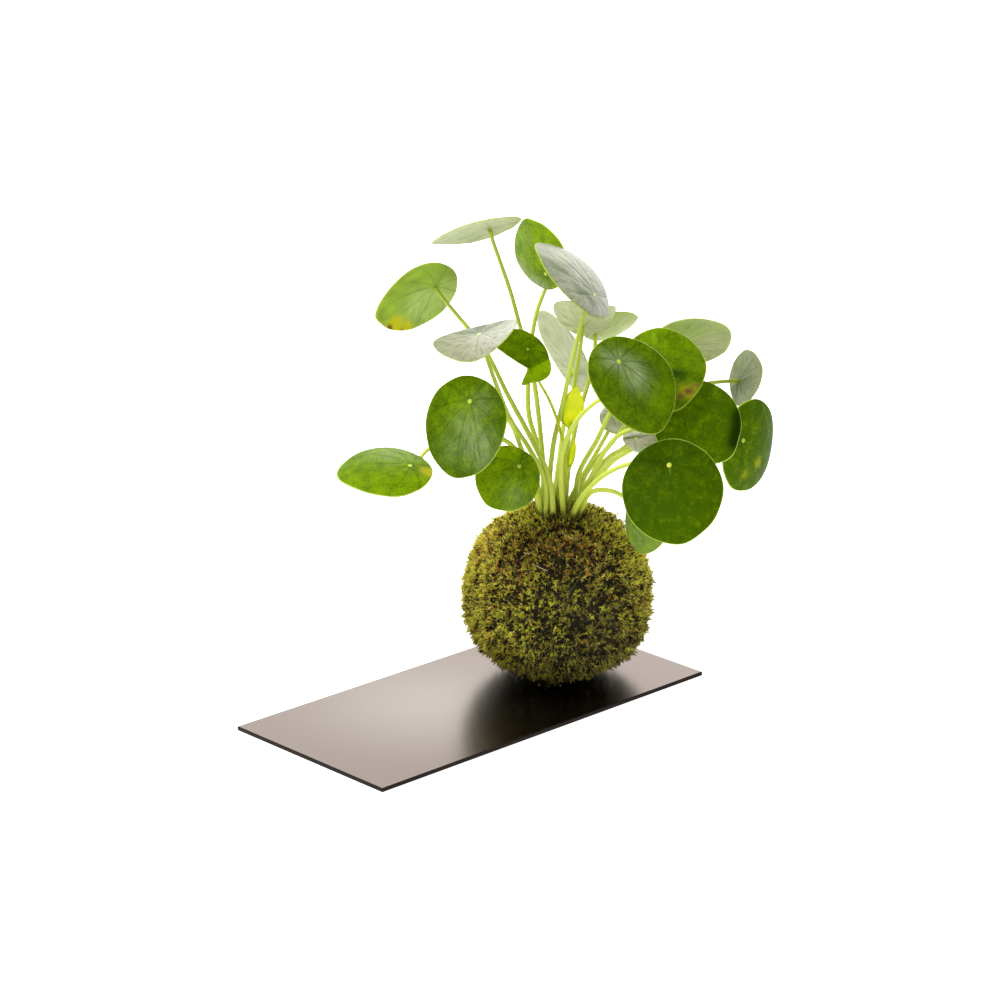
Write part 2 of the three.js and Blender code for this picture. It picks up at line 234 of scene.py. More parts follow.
class Nodes:
    """Makes the nodes of one material, world or group."""

    def __init__(self, tree: bpy.types.NodeTree) -> None:
        """Keeps the tree that the nodes go into."""
        self.tree = tree

    def put(self, socket: Socket, value: Value) -> None:
        """Feeds an input from another socket, or sets it.

        Args:
            socket: the input.
            value: the other socket, or the number, vector or colour.
        """
        if isinstance(value, bpy.types.NodeSocket):
            self.tree.links.new(value, socket)
        elif socket.type == "RGBA":
            socket.default_value = (*value, 1.0)
        else:
            socket.default_value = value

    def add(
        self, kind: str, inputs: dict[str | int, Value] | None = None, **settings: object
    ) -> bpy.types.Node:
        """Makes one node.

        Args:
            kind: the node's type.
            inputs: what its inputs take, by name or number.
            settings: the node's own properties.

        Returns:
            The new node.
        """
        node = self.tree.nodes.new(kind)
        for name, value in settings.items():
            setattr(node, name, value)
        for name, value in (inputs or {}).items():
            self.put(node.inputs[name], value)
        return node

    def math(self, operation: str, *values: Value, clamp: bool = False) -> Socket:
        """The result of a sum on numbers, held between 0 and 1 where clamp is set."""
        inputs = dict(enumerate(values))
        return self.add("ShaderNodeMath", inputs, operation=operation, use_clamp=clamp).outputs[0]

    def plus(self, first: Value, second: Value, clamp: bool = False) -> Socket:
        """Two numbers added."""
        return self.math("ADD", first, second, clamp=clamp)

    def minus(self, first: Value, second: Value) -> Socket:
        """The first number less the second."""
        return self.math("SUBTRACT", first, second)

    def times(self, first: Value, second: Value) -> Socket:
        """Two numbers multiplied."""
        return self.math("MULTIPLY", first, second)

    def polar(self, place: Socket) -> tuple[Socket, Socket]:
        """A flat place as seen from its origin.

        Args:
            place: the place.

        Returns:
            How far away it is, and its angle.
        """
        x = self.part(place, "X")
        y = self.part(place, "Y")
        return self.math("SQRT", self.plus(self.times(x, x), self.times(y, y))), self.math("ARCTAN2", y, x)

    def ease(self, value: Value, low: float, high: float, start: float = 0.0, end: float = 1.0) -> Socket:
        """A smooth run from start at low to end at high."""
        inputs = {"Value": value, "From Min": low, "From Max": high, "To Min": start, "To Max": end}
        return self.add("ShaderNodeMapRange", inputs, interpolation_type="SMOOTHSTEP").outputs["Result"]

    def mix(self, amount: Value, low: Value, high: Value) -> Socket:
        """A mix of two colours."""
        return self.add("ShaderNodeMix", {0: amount, 6: low, 7: high}, data_type="RGBA").outputs[2]

    def noise(self, place: Socket, scale: float, detail: float = 3.0, roughness: float = 0.55) -> Socket:
        """Soft noise from 0 to 1."""
        inputs = {"Vector": place, "Scale": scale, "Detail": detail, "Roughness": roughness}
        return self.add("ShaderNodeTexNoise", inputs).outputs["Fac"]

    def net(self, place: Socket, scale: float) -> Socket:
        """How far a place is from the edges of a net of cells."""
        inputs = {"Vector": place, "Scale": scale}
        return self.add("ShaderNodeTexVoronoi", inputs, feature="DISTANCE_TO_EDGE").outputs["Distance"]

    def attribute(self, name: str, output: str = "Fac") -> Socket:
        """A value that the mesh carries."""
        return self.add("ShaderNodeAttribute", attribute_name=name).outputs[output]

    def spot(self) -> Socket:
        """The place of the shaded point, in metres."""
        return self.add("ShaderNodeTexCoord").outputs["Object"]

    def part(self, vector: Socket, axis: str) -> Socket:
        """One number of a vector."""
        return self.add("ShaderNodeSeparateXYZ", {0: vector}).outputs[axis]

    def ramp(self, value: Socket, *stops: tuple[float, Colour]) -> Socket:
        """Colours that run into each other along a value.

        Args:
            value: the value.
            stops: two or more colours, each with the value that it stands at.

        Returns:
            The colour at the value.
        """
        node = self.add("ShaderNodeValToRGB", {0: value})
        elements = node.color_ramp.elements
        for position, colour in stops[2:]:
            elements.new(position)
        for element, (position, colour) in zip(elements, stops, strict=True):
            element.position = position
            element.color = (*colour, 1.0)
        return node.outputs["Color"]

    def bump(self, height: Socket, depth: float, strength: float = 1.0) -> Socket:
        """A normal from a height; depth is in metres for a height of 1."""
        inputs = {"Height": height, "Distance": depth, "Strength": strength}
        return self.add("ShaderNodeBump", inputs).outputs[0]

    def group(self, tree: bpy.types.NodeTree, **inputs: Value) -> bpy.types.Node:
        """Places a node group, with its inputs by name."""
        return self.add("ShaderNodeGroup", {**inputs}, node_tree=tree)


def make_group(
    name: str,
    inputs: dict[str, tuple[str, float | None]],
    outputs: Sequence[str],
    fill: Callable[[Nodes, Sockets], Sockets],
) -> bpy.types.NodeTree:
    """A shader node group, made once.

    Args:
        name: the group's name.
        inputs: the kind and the default of each input.
        outputs: the names of its outputs, which are all numbers.
        fill: makes the inner nodes from the inputs' sockets and returns what feeds each output.

    Returns:
        The group's node tree.
    """
    tree = bpy.data.node_groups.get(name)
    if tree:
        return tree
    tree = bpy.data.node_groups.new(name, "ShaderNodeTree")
    for label, (kind, default) in inputs.items():
        socket = tree.interface.new_socket(label, in_out="INPUT", socket_type="NodeSocket" + kind)
        if default is not None:
            socket.default_value = default
    for label in outputs:
        tree.interface.new_socket(label, in_out="OUTPUT", socket_type="NodeSocketFloat")
    nodes = Nodes(tree)
    enter = nodes.add("NodeGroupInput")
    leave = nodes.add("NodeGroupOutput")
    for label, value in fill(nodes, {s.name: s for s in enter.outputs if s.name}).items():
        nodes.put(leave.inputs[label], value)
    return tree


@dataclass(frozen=True)
class Venation:
    """The veins of a shield-shaped leaf, which all start where the stalk meets the blade.

    Lengths are in half lengths of the blade.
    """

    spread: float = math.radians(40)
    bend: float = 0.35
    width: float = 0.04
    branches: float = 7.0
    branch_slope: float = 5.0
    net_scale: float = 13.0
    dot: Pair = (0.06, 0.035)

    def offset(self, x: Array, y: Array) -> tuple[Array, Array]:
        """How far a place is from the nearest main vein.

        Args:
            x: places along the midrib, from the stalk's end towards the tip.
            y: places across it.

        Returns:
            The distance to the vein and the distance to the stalk's end.
        """
        reach = np.hypot(x, y)
        angle = np.arctan2(y, x)
        cell = (angle + self.bend * reach * np.sin(angle)) / self.spread
        return np.abs(cell - np.round(cell)) * self.spread * reach, reach

    def lines(self, nodes: Nodes, place: Socket) -> tuple[Socket, Socket, Socket]:
        """Finds the main veins with plain nodes.

        Args:
            nodes: the nodes of a material or group.
            place: the place on the blade.

        Returns:
            The main veins, how far off the nearest one a place is in shares of their spread, and how far
            it is from the stalk's end.
        """
        reach, angle = nodes.polar(place)
        bend = nodes.times(nodes.math("SINE", angle), nodes.times(reach, self.bend))
        cell = nodes.math("DIVIDE", nodes.plus(angle, bend), self.spread)
        off = nodes.math("ABSOLUTE", nodes.minus(cell, nodes.math("ROUND", cell)))
        away = nodes.times(nodes.times(off, self.spread), reach)
        main = nodes.times(nodes.ease(away, self.width, 0.0), nodes.ease(reach, 1.5, 0.5))
        return main, off, reach

    def group(self) -> bpy.types.NodeTree:
        """Draws the veins from a place on the blade.

        Returns:
            The node group, made once.
        """

        def fill(nodes: Nodes, given: Sockets) -> Sockets:
            """Makes the inner nodes.

            Args:
                nodes: the group's nodes.
                given: its inputs, by name.

            Returns:
                What feeds each output.
            """
            place = given["Place"]
            main, off, reach = self.lines(nodes, place)
            x = nodes.part(place, "X")
            y = nodes.part(place, "Y")
            chevron = nodes.minus(nodes.times(reach, self.branches), nodes.times(off, self.branch_slope))
            stripe = nodes.math("ABSOLUTE", nodes.minus(nodes.math("FRACT", chevron), 0.5))
            branch = nodes.ease(stripe, 0.38, 0.5)
            net = nodes.ease(nodes.net(place, self.net_scale), 0.09, 0.0)
            dot = nodes.ease(reach, *self.dot)
            streak = nodes.times(nodes.ease(nodes.math("ABSOLUTE", y), 0.02, 0.0), nodes.ease(x, 0.3, 0.0))
            ahead = nodes.times(streak, nodes.ease(x, 0.0, 0.03))
            return {"Main": main, "Branch": branch, "Net": net, "Dot": dot, "Streak": ahead}

        outputs = ["Main", "Branch", "Net", "Dot", "Streak"]
        return make_group("Blade veins", {"Place": ("Vector", None)}, outputs, fill)


VEINS = Venation()


def mottle_group() -> bpy.types.NodeTree:
    """Soft clouds with finer grain in them, round 0.

    Returns:
        The node group, made once.
    """

    def fill(nodes: Nodes, given: Sockets) -> Sockets:
        """Makes the inner nodes.

        Args:
            nodes: the group's nodes.
            given: its inputs, by name.

        Returns:
            What feeds each output.
        """
        clouds = nodes.noise(given["Place"], 0.0)
        nodes.put(clouds.node.inputs["Scale"], given["Scale"])
        grain = nodes.noise(given["Place"], 0.0, 2.0)
        nodes.put(grain.node.inputs["Scale"], nodes.times(given["Scale"], 7.0))
        sum_of_both = nodes.plus(clouds, nodes.times(grain, 0.6))
        centred = nodes.minus(sum_of_both, 0.8)
        return {"Value": nodes.times(centred, given["Contrast"])}

    inputs = {"Place": ("Vector", None), "Scale": ("Float", 100.0), "Contrast": ("Float", 1.0)}
    return make_group("Mottle", inputs, ["Value"], fill)


def ageing_group() -> bpy.types.NodeTree:
    """Ragged yellow patches and brown specks, where the mesh says that a leaf has aged.

    Returns:
        The node group, made once.
    """

    def fill(nodes: Nodes, given: Sockets) -> Sockets:
        """Makes the inner nodes.

        Args:
            nodes: the group's nodes.
            given: its inputs, by name.

        Returns:
            What feeds each output.
        """
        rag = nodes.noise(given["Place"], 700.0, 4.0, 0.7)
        yellow = nodes.plus(given["Yellow"], nodes.minus(rag, 0.5))
        brown = nodes.plus(given["Brown"], nodes.times(nodes.minus(rag, 0.5), 1.6))
        return {"Yellow": nodes.ease(yellow, *YELLOW_EDGES), "Brown": nodes.ease(brown, *BROWN_EDGES)}

    inputs = {"Place": ("Vector", None), "Yellow": ("Float", 0.0), "Brown": ("Float", 0.0)}
    return make_group("Ageing", inputs, ["Yellow", "Brown"], fill)


def drawn_out(nodes: Nodes, place: Socket, stretch: Value) -> Socket:
    """Noise that is drawn out into fine streaks, by plain nodes.

    Args:
        nodes: the nodes of a material or group.
        place: the place.
        stretch: how fine the noise is along each axis.

    Returns:
        The noise, from 0 to 1.
    """
    inputs = {0: place, 1: stretch}
    stretched = nodes.add("ShaderNodeVectorMath", inputs, operation="MULTIPLY").outputs[0]
    return nodes.noise(stretched, 1.0, 3.0, 0.6)


def fibre_group() -> bpy.types.NodeTree:
    """Fine streaks along a stalk, a scale or the plate.

    Returns:
        The node group, made once.
    """

    def fill(nodes: Nodes, given: Sockets) -> Sockets:
        """Draws the noise out."""
        return {"Value": drawn_out(nodes, given["Place"], given["Stretch"])}

    inputs = {"Place": ("Vector", None), "Stretch": ("Vector", None)}
    return make_group("Fibres", inputs, ["Value"], fill)


def brushing_group() -> bpy.types.NodeTree:
    """Fine streaks that run out from the stalk's end over a blade, from the place on the blade.

    Returns:
        The node group, made once.
    """

    def fill(nodes: Nodes, given: Sockets) -> Sockets:
        """Makes the inner nodes.

        Args:
            nodes: the group's nodes.
            given: its inputs, by name.

        Returns:
            What feeds each output.
        """
        reach, angle = nodes.polar(given["Place"])
        inputs = {0: nodes.times(angle, 19.0), 1: nodes.times(reach, 3.0)}
        fine = nodes.noise(nodes.add("ShaderNodeCombineXYZ", inputs).outputs[0], 1.0, 5.0, 0.7)
        broad = nodes.noise(given["Place"], 3.0, 2.0)
        return {"Value": nodes.plus(nodes.times(fine, 0.7), nodes.times(broad, 0.3))}

    return make_group("Brushing", {"Place": ("Vector", None)}, ["Value"], fill)


@dataclass(frozen=True)
class Finish:
    """What every finish has: a name, and a material that is made once."""

    name: str

    def material(self) -> bpy.types.Material:
        """The finish as a material.

        Returns:
            The material, made the first time it is asked for.
        """
        made = bpy.data.materials.get(self.name)
        if made:
            return made
        made = bpy.data.materials.new(self.name)
        made.use_nodes = True
        self.dress(Nodes(made.node_tree), made.node_tree.nodes["Principled BSDF"])
        return made

    def dress(self, nodes: Nodes, body: bpy.types.Node) -> None:
        """Fills the material's nodes round its main shader."""
        raise NotImplementedError

    def shine_through(self, nodes: Nodes, body: bpy.types.Node, colour: Value, share: float) -> None:
        """Lets light from behind through.

        Args:
            nodes: the material's nodes.
            body: its main shader.
            colour: the colour of the light that comes through.
            share: how much of the surface is this and not the main shader.
        """
        through = nodes.add("ShaderNodeBsdfTranslucent", {"Color": colour})
        both = nodes.add("ShaderNodeMixShader", {0: share, 1: body.outputs[0], 2: through.outputs[0]})
        output = nodes.tree.nodes["Material Output"]
        nodes.put(output.inputs["Surface"], both.outputs[0])


def dress_piece(
    name: str,
    mesh: bpy.types.Mesh,
    finishes: Sequence[Finish],
    nodes: Sequence[str] = (),
) -> None:
    """Puts a mesh into the scene as a piece of the part.

    Args:
        name: the piece's name.
        mesh: its mesh, in the model's frame.
        finishes: its finishes, in the order of the faces' numbers.
        nodes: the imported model's nodes that it stands for.
    """
    piece = bpy.data.objects.new(name, mesh)
    bpy.context.scene.collection.objects.link(piece)
    for finish in finishes:
        mesh.materials.append(finish.material())
    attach(piece, "root")
    if nodes:
        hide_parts(*nodes)
    log.info("%s: %d faces", name, len(mesh.polygons))


def dress_solid(node: str, finish: Finish) -> None:
    """Gives a solid that is kept as it is its finish.

    Args:
        node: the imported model's node.
        finish: its finish.
    """
    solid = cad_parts[node]
    solid.data.materials.clear()
    solid.data.materials.append(finish.material())
    log.info("%s: keeps its solid", node)


class Face(Enum):
    """The sides of a leaf blade."""

    UPPER = 0
    LOWER = 1
    RIM = 2


@dataclass(frozen=True)
class LeafFinish(Finish):
    """The waxy skin of a leaf blade's upper or lower face; its pale wax colour is partly painted sheen."""

    dark: Colour
    bright: Colour
    vein: Colour
    dot: Colour
    glow_dark: Colour
    glow_bright: Colour
    glow: float
    roughness: float
    specular: float
    coat: float
    bloom_and_sheen: float
    vein_depth: float
    vein_colour: float
    glow_wax_and_sheen: Colour
    wax_and_sheen: Colour = (0.60, 0.66, 0.42)
    wax_and_sheen_floor: float = 0.1
    wax_and_sheen_edges: Pair = (0.38, 0.58)
    glow_vein: float = 0.28
    cloud_scale: float = 110.0
    coat_roughness: float = 0.38
    coat_ior: float = 1.7
    relief: float = 0.00028
    yellow: Colour = (0.40, 0.38, 0.02)
    brown: Colour = (0.24, 0.12, 0.04)
    glow_yellow: Colour = (0.62, 0.62, 0.05)
    # Painted shadow: the dark colour that the light through turns to where the tone is below 0.
    shade: Colour = (0.04, 0.055, 0.001)

    def dress(self, nodes: Nodes, body: bpy.types.Node) -> None:
        """Veins, clouds, ageing and a waxy skin with light from behind; the pale wax colour is partly painted
        sheen.

        Args:
            nodes: the material's nodes.
            body: its main shader.
        """
        spot = nodes.spot()
        blade = nodes.attribute("blade", "Vector")
        tone = nodes.attribute("tone")
        state = nodes.attribute("state", "Vector")
        veins = nodes.group(VEINS.group(), Place=blade).outputs
        clouds = nodes.group(mottle_group(), Place=spot, Scale=self.cloud_scale, Contrast=0.9).outputs[0]
        inputs = {"Place": spot, "Yellow": nodes.part(state, "X"), "Brown": nodes.part(state, "Y")}
        aged = nodes.group(ageing_group(), **inputs).outputs
        streaks = nodes.group(brushing_group(), Place=blade).outputs[0]
        level = nodes.plus(tone, clouds, clamp=True)
        ground = nodes.mix(level, self.dark, self.bright)
        fine = nodes.plus(nodes.times(veins["Branch"], 0.35), nodes.times(veins["Net"], 0.4))
        all_veins = nodes.math("MAXIMUM", veins["Main"], fine)
        mark = nodes.math("MAXIMUM", veins["Dot"], nodes.times(veins["Streak"], 0.5))
        # The wax mask mixes a pale colour into the base: partly the leaf's own wax bloom, partly painted
        # sheen where the lights reflect.
        streaked = nodes.ease(streaks, *self.wax_and_sheen_edges, self.wax_and_sheen_floor, 1.0)
        wax_and_sheen = nodes.times(nodes.part(state, "Z"), streaked)
        waxed_and_sheened = nodes.mix(nodes.times(wax_and_sheen, self.bloom_and_sheen), ground, self.wax_and_sheen)
        veined = nodes.mix(nodes.times(all_veins, self.vein_colour), waxed_and_sheened, self.vein)
        marked = nodes.mix(mark, veined, self.dot)
        yellowed = nodes.mix(aged["Yellow"], marked, self.yellow)
        nodes.put(body.inputs["Base Color"], nodes.mix(aged["Brown"], yellowed, self.brown))
        nodes.put(body.inputs["Roughness"], nodes.plus(self.roughness, nodes.times(clouds, 0.35)))
        nodes.put(body.inputs["Coat Weight"], nodes.times(wax_and_sheen, self.coat))
        body.inputs["Coat Roughness"].default_value = self.coat_roughness
        body.inputs["Coat IOR"].default_value = self.coat_ior
        body.inputs["Specular IOR Level"].default_value = self.specular
        grain = nodes.noise(spot, 2500.0, 2.0)
        sunk = nodes.plus(nodes.times(veins["Branch"], 0.4), nodes.times(veins["Net"], 0.4))
        relief = nodes.times(nodes.math("MAXIMUM", veins["Main"], sunk), self.vein_depth)
        rough = nodes.plus(nodes.times(grain, 0.3), nodes.times(streaks, 0.8))
        nodes.put(body.inputs["Normal"], nodes.bump(nodes.plus(relief, rough), self.relief, 0.7))
        self.shine_through(nodes, body, self.through(nodes, spot, blade, tone, state), self.glow)

    def through(self, nodes: Nodes, spot: Socket, blade: Socket, tone: Socket, state: Socket) -> Socket:
        """The colour of the light that comes through, from what the mesh carries and plain noise.

        Args:
            nodes: the material's nodes.
            spot: the place of the shaded point.
            blade: the place on the blade.
            tone: how bright the leaf is; below 0 it paints shade.
            state: how yellow and brown it is, and how much wax and painted sheen it has.

        Returns:
            The colour.
        """
        broad = nodes.times(nodes.minus(nodes.noise(spot, 120.0, 4.0, 0.62), 0.5), 1.3)
        grain = nodes.noise(spot, 900.0, 3.0, 0.7)
        fine = nodes.times(nodes.minus(grain, 0.5), 1.1)
        cells = nodes.ease(nodes.net(blade, 10.0), 0.0, 0.13, -0.16, 0.03)
        level = nodes.plus(nodes.plus(tone, broad), nodes.plus(fine, cells), clamp=True)
        fresh = nodes.mix(level, self.glow_dark, self.glow_bright)
        # Painted sheen: where the wax mask lies, the light through is dulled towards a paler colour.
        dulled = nodes.mix(nodes.times(nodes.part(state, "Z"), 0.75), fresh, self.glow_wax_and_sheen)
        # Painted shadow: below a tone of 0 the light through is mixed towards the dark shade colour.
        lit = nodes.mix(nodes.ease(tone, -0.5, 0.0), self.shade, dulled)
        main, _, reach = VEINS.lines(nodes, blade)
        veined = nodes.mix(nodes.times(main, self.glow_vein), lit, self.vein)
        marked = nodes.mix(nodes.ease(reach, *VEINS.dot), veined, self.dot)
        rag = nodes.minus(grain, 0.5)
        yellow = nodes.ease(nodes.plus(nodes.part(state, "X"), rag), *YELLOW_EDGES)
        brown = nodes.ease(nodes.plus(nodes.part(state, "Y"), nodes.times(rag, 2.2)), *BROWN_EDGES)
        return nodes.mix(brown, nodes.mix(yellow, marked, self.glow_yellow), self.brown)


@dataclass(frozen=True)
class PaintedRimLightFinish(Finish):
    """The thin rim of a leaf blade, made pale: a painted highlight of the light that catches it."""

    colour: Colour
    glow: Colour

    def dress(self, nodes: Nodes, body: bpy.types.Node) -> None:
        """A pale edge with faint clouds: a painted highlight.

        Args:
            nodes: the material's nodes.
            body: its main shader.
        """
        clouds = nodes.group(mottle_group(), Place=nodes.spot(), Scale=250.0, Contrast=0.4).outputs[0]
        colour = nodes.mix(nodes.plus(clouds, 0.3, clamp=True), self.colour, self.glow)
        nodes.put(body.inputs["Base Color"], colour)
        body.inputs["Roughness"].default_value = 0.4
        self.shine_through(nodes, body, self.glow, 0.6)


@dataclass(frozen=True)
class StalkFinish(Finish):
    """The smooth skin of a stalk, greener at its foot, faintly ridged and full of light."""

    foot: Colour
    middle: Colour
    tip: Colour
    glow: Colour
    ridge: Colour
    share: float = 0.5
    coat: float = 0.15
    stripes: Point = (2.5, 7.0, 9.0)
    stripe_edges: Pair = (0.42, 0.58)
    lit: Pair = (0.15, 0.62)

    def dress(self, nodes: Nodes, body: bpy.types.Node) -> None:
        """Fine streaks along the stalk over a colour that runs from foot to tip.

        Args:
            nodes: the material's nodes.
            body: its main shader.
        """
        place = nodes.attribute("stalk", "Vector")
        fibres = nodes.group(fibre_group(), Place=place, Stretch=self.stripes).outputs[0]
        along = nodes.part(place, "X")
        colour = nodes.ramp(along, (0.0, self.foot), (0.35, self.middle), (1.0, self.tip))
        ridged = nodes.mix(nodes.ease(fibres, *self.stripe_edges, 0.0, 0.8), colour, self.ridge)
        nodes.put(body.inputs["Base Color"], ridged)
        body.inputs["Roughness"].default_value = 0.32
        body.inputs["Coat Weight"].default_value = self.coat
        body.inputs["Coat Roughness"].default_value = 0.2
        body.inputs["Sheen Weight"].default_value = self.coat
        body.inputs["Sheen Roughness"].default_value = 0.25
        body.inputs["Sheen Tint"].default_value = (1.0, 1.0, 0.2, 1.0)
        nodes.put(body.inputs["Normal"], nodes.bump(fibres, 0.0002, 0.5))
        stripe = nodes.ease(drawn_out(nodes, place, self.stripes), *self.stripe_edges, 0.0, 0.75)
        lit = nodes.mix(nodes.ease(along, 0.0, 0.3, *self.lit), colour, self.glow)
        self.shine_through(nodes, body, nodes.mix(stripe, lit, self.ridge), self.share)


@dataclass(frozen=True)
class MossFinish(Finish):
    """One kind of moss shoot, dark at its foot and bright at its tips."""

    # The dark foot is partly the shoot's own colour and partly painted shade deep in the mat.
    foot: Colour
    middle: Colour
    tip: Colour
    stops: Point = (0.32, 0.66, 0.98)
    variety: float = 1.35
    share: float = 0.4

    def colour(self, nodes: Nodes, level: Socket) -> Socket:
        """The colour at a level from the shoot's dark foot to its bright tip."""
        return nodes.ramp(level, *zip(self.stops, (self.foot, self.middle, self.tip)))

    def dress(self, nodes: Nodes, body: bpy.types.Node) -> None:
        """Colour that runs up each shoot and differs from shoot to shoot.

        Args:
            nodes: the material's nodes.
            body: its main shader.
        """
        shoot = nodes.attribute("shoot", "Vector")
        patches = nodes.group(mottle_group(), Place=nodes.spot(), Scale=60.0, Contrast=0.8).outputs[0]
        own = nodes.times(nodes.minus(nodes.part(shoot, "Y"), 0.5), self.variety)
        level = nodes.plus(nodes.part(shoot, "X"), nodes.plus(own, patches))
        nodes.put(body.inputs["Base Color"], self.colour(nodes, level))
        body.inputs["Roughness"].default_value = 0.75
        bare = nodes.plus(nodes.part(shoot, "X"), own)
        self.shine_through(nodes, body, self.colour(nodes, bare), self.share)


@dataclass(frozen=True)
class EarthFinish(Finish):
    """Dark crumbly earth or old moss, with paler crumbs."""

    dark: Colour
    light: Colour
    scale: float = 260.0

    def dress(self, nodes: Nodes, body: bpy.types.Node) -> None:
        """Crumbs of two sizes, matt.

        Args:
            nodes: the material's nodes.
            body: its main shader.
        """
        spot = nodes.spot()
        crumbs = nodes.noise(spot, self.scale, 5.0, 0.7)
        grains = nodes.net(spot, self.scale * 3.0)
        level = nodes.plus(nodes.ease(crumbs, 0.42, 0.72), nodes.times(grains, 0.25), clamp=True)
        nodes.put(body.inputs["Base Color"], nodes.mix(level, self.dark, self.light))
        body.inputs["Roughness"].default_value = 0.9
        nodes.put(body.inputs["Normal"], nodes.bump(nodes.plus(crumbs, grains), 0.0012))


@dataclass(frozen=True)
class BarkFinish(Finish):
    """The woody skin of the crown and of the dry scales at the stalks' feet."""

    dark: Colour
    light: Colour
    share: float = 0.1
    fibres: Point = (1400.0, 1400.0, 160.0)

    def dress(self, nodes: Nodes, body: bpy.types.Node) -> None:
        """Long fibres over blotches.

        Args:
            nodes: the material's nodes.
            body: its main shader.
        """
        spot = nodes.spot()
        stretch = nodes.group(fibre_group(), Place=spot, Stretch=self.fibres).outputs[0]
        blotch = nodes.group(mottle_group(), Place=spot, Scale=220.0, Contrast=0.8).outputs[0]
        level = nodes.plus(nodes.ease(stretch, 0.35, 0.7), blotch, clamp=True)
        nodes.put(body.inputs["Base Color"], nodes.mix(level, self.dark, self.light))
        body.inputs["Roughness"].default_value = 0.7
        nodes.put(body.inputs["Normal"], nodes.bump(stretch, 0.0005))
        self.shine_through(nodes, body, self.light, self.share)


@dataclass(frozen=True)
class ThreadFinish(Finish):
    """The pale twisted binding thread."""

    pale: Colour
    dull: Colour
    twists: float = 190.0

    def dress(self, nodes: Nodes, body: bpy.types.Node) -> None:
        """A twist that winds round the thread.

        Args:
            nodes: the material's nodes.
            body: its main shader.
        """
        place = nodes.attribute("stalk", "Vector")
        turns = nodes.plus(nodes.times(nodes.part(place, "X"), self.twists), nodes.part(place, "Y"))
        twist = nodes.math("ABSOLUTE", nodes.minus(nodes.math("FRACT", nodes.times(turns, 2.0)), 0.5))
        nodes.put(body.inputs["Base Color"], nodes.mix(nodes.ease(twist, 0.05, 0.4), self.dull, self.pale))
        body.inputs["Roughness"].default_value = 0.55
        nodes.put(body.inputs["Normal"], nodes.bump(twist, 0.0002))


@dataclass(frozen=True)
class PlateFinish(Finish):
    """Satin black lacquer that mirrors softly, with the finest grain and wiped patches."""

    colour: Colour
    wiped: Colour
    gleam: Colour
    roughness: float
    haze_and_sheen: Colour
    edge: Colour
    haze_and_sheen_place: Point = (-0.029, 0.012, 0.003)
    haze_and_sheen_reach: float = 0.12
    fibres: Point = (40.0, 700.0, 40.0)

    def dress(self, nodes: Nodes, body: bpy.types.Node) -> None:
        """Grain, faint wiping marks, a soft mirror, a paler haze that is partly painted sheen, and painted
        shade on the sides.

        Args:
            nodes: the material's nodes.
            body: its main shader.
        """
        spot = nodes.spot()
        wiping = nodes.group(mottle_group(), Place=spot, Scale=14.0, Contrast=1.0).outputs[0]
        stretch = nodes.group(fibre_group(), Place=spot, Stretch=self.fibres).outputs[0]
        grain = nodes.noise(spot, 3800.0, 2.0)
        level = nodes.plus(nodes.times(wiping, 0.5), nodes.times(stretch, 0.4), clamp=True)
        clean = nodes.mix(level, self.colour, self.wiped)
        # A paler patch left of the ball's middle: partly haze in the lacquer, partly painted sheen.
        inputs = {0: spot, 1: self.haze_and_sheen_place}
        away = nodes.add("ShaderNodeVectorMath", inputs, operation="DISTANCE").outputs["Value"]
        hazy_and_sheened = nodes.mix(nodes.ease(away, self.haze_and_sheen_reach, 0.0), clean, self.haze_and_sheen)
        # Painted shade: the sides and underside of the plate take a far darker colour than its top.
        facing = nodes.part(nodes.add("ShaderNodeTexCoord").outputs["Normal"], "Z")
        nodes.put(body.inputs["Base Color"], nodes.mix(nodes.ease(facing, 0.2, 0.8), self.edge, hazy_and_sheened))
        rough = nodes.plus(self.roughness, nodes.times(level, 0.06))
        nodes.put(body.inputs["Roughness"], rough)
        body.inputs["Metallic"].default_value = 1.0
        body.inputs["Specular Tint"].default_value = (*self.gleam, 1.0)
        nodes.put(body.inputs["Normal"], nodes.bump(grain, 0.00004, 0.08))


LEAF_UPPER = LeafFinish(
    "leaf upper face",
    dark=(0.018, 0.050, 0.001),
    bright=(0.112, 0.183, 0.003),
    vein=(0.035, 0.070, 0.002),
    dot=(0.80, 0.92, 0.10),
    glow_dark=(0.125, 0.205, 0.002),
    glow_bright=(0.62, 0.84, 0.006),
    glow=0.60,
    roughness=0.36,
    specular=0.03,
    coat=0.9,
    bloom_and_sheen=0.9,
    vein_depth=-1.0,
    vein_colour=0.6,
    glow_wax_and_sheen=(0.24, 0.34, 0.06),
)
LEAF_LOWER = LeafFinish(
    "leaf lower face",
    dark=(0.17, 0.22, 0.06),
    bright=(0.34, 0.42, 0.15),
    vein=(0.10, 0.17, 0.04),
    dot=(0.50, 0.60, 0.10),
    glow_dark=(0.68, 0.78, 0.14),
    glow_bright=(0.82, 0.92, 0.20),
    glow=0.60,
    roughness=0.55,
    specular=0.15,
    coat=0.7,
    bloom_and_sheen=0.9,
    vein_depth=1.0,
    vein_colour=0.45,
    glow_wax_and_sheen=(0.86, 0.90, 0.60),
    glow_vein=0.14,
)
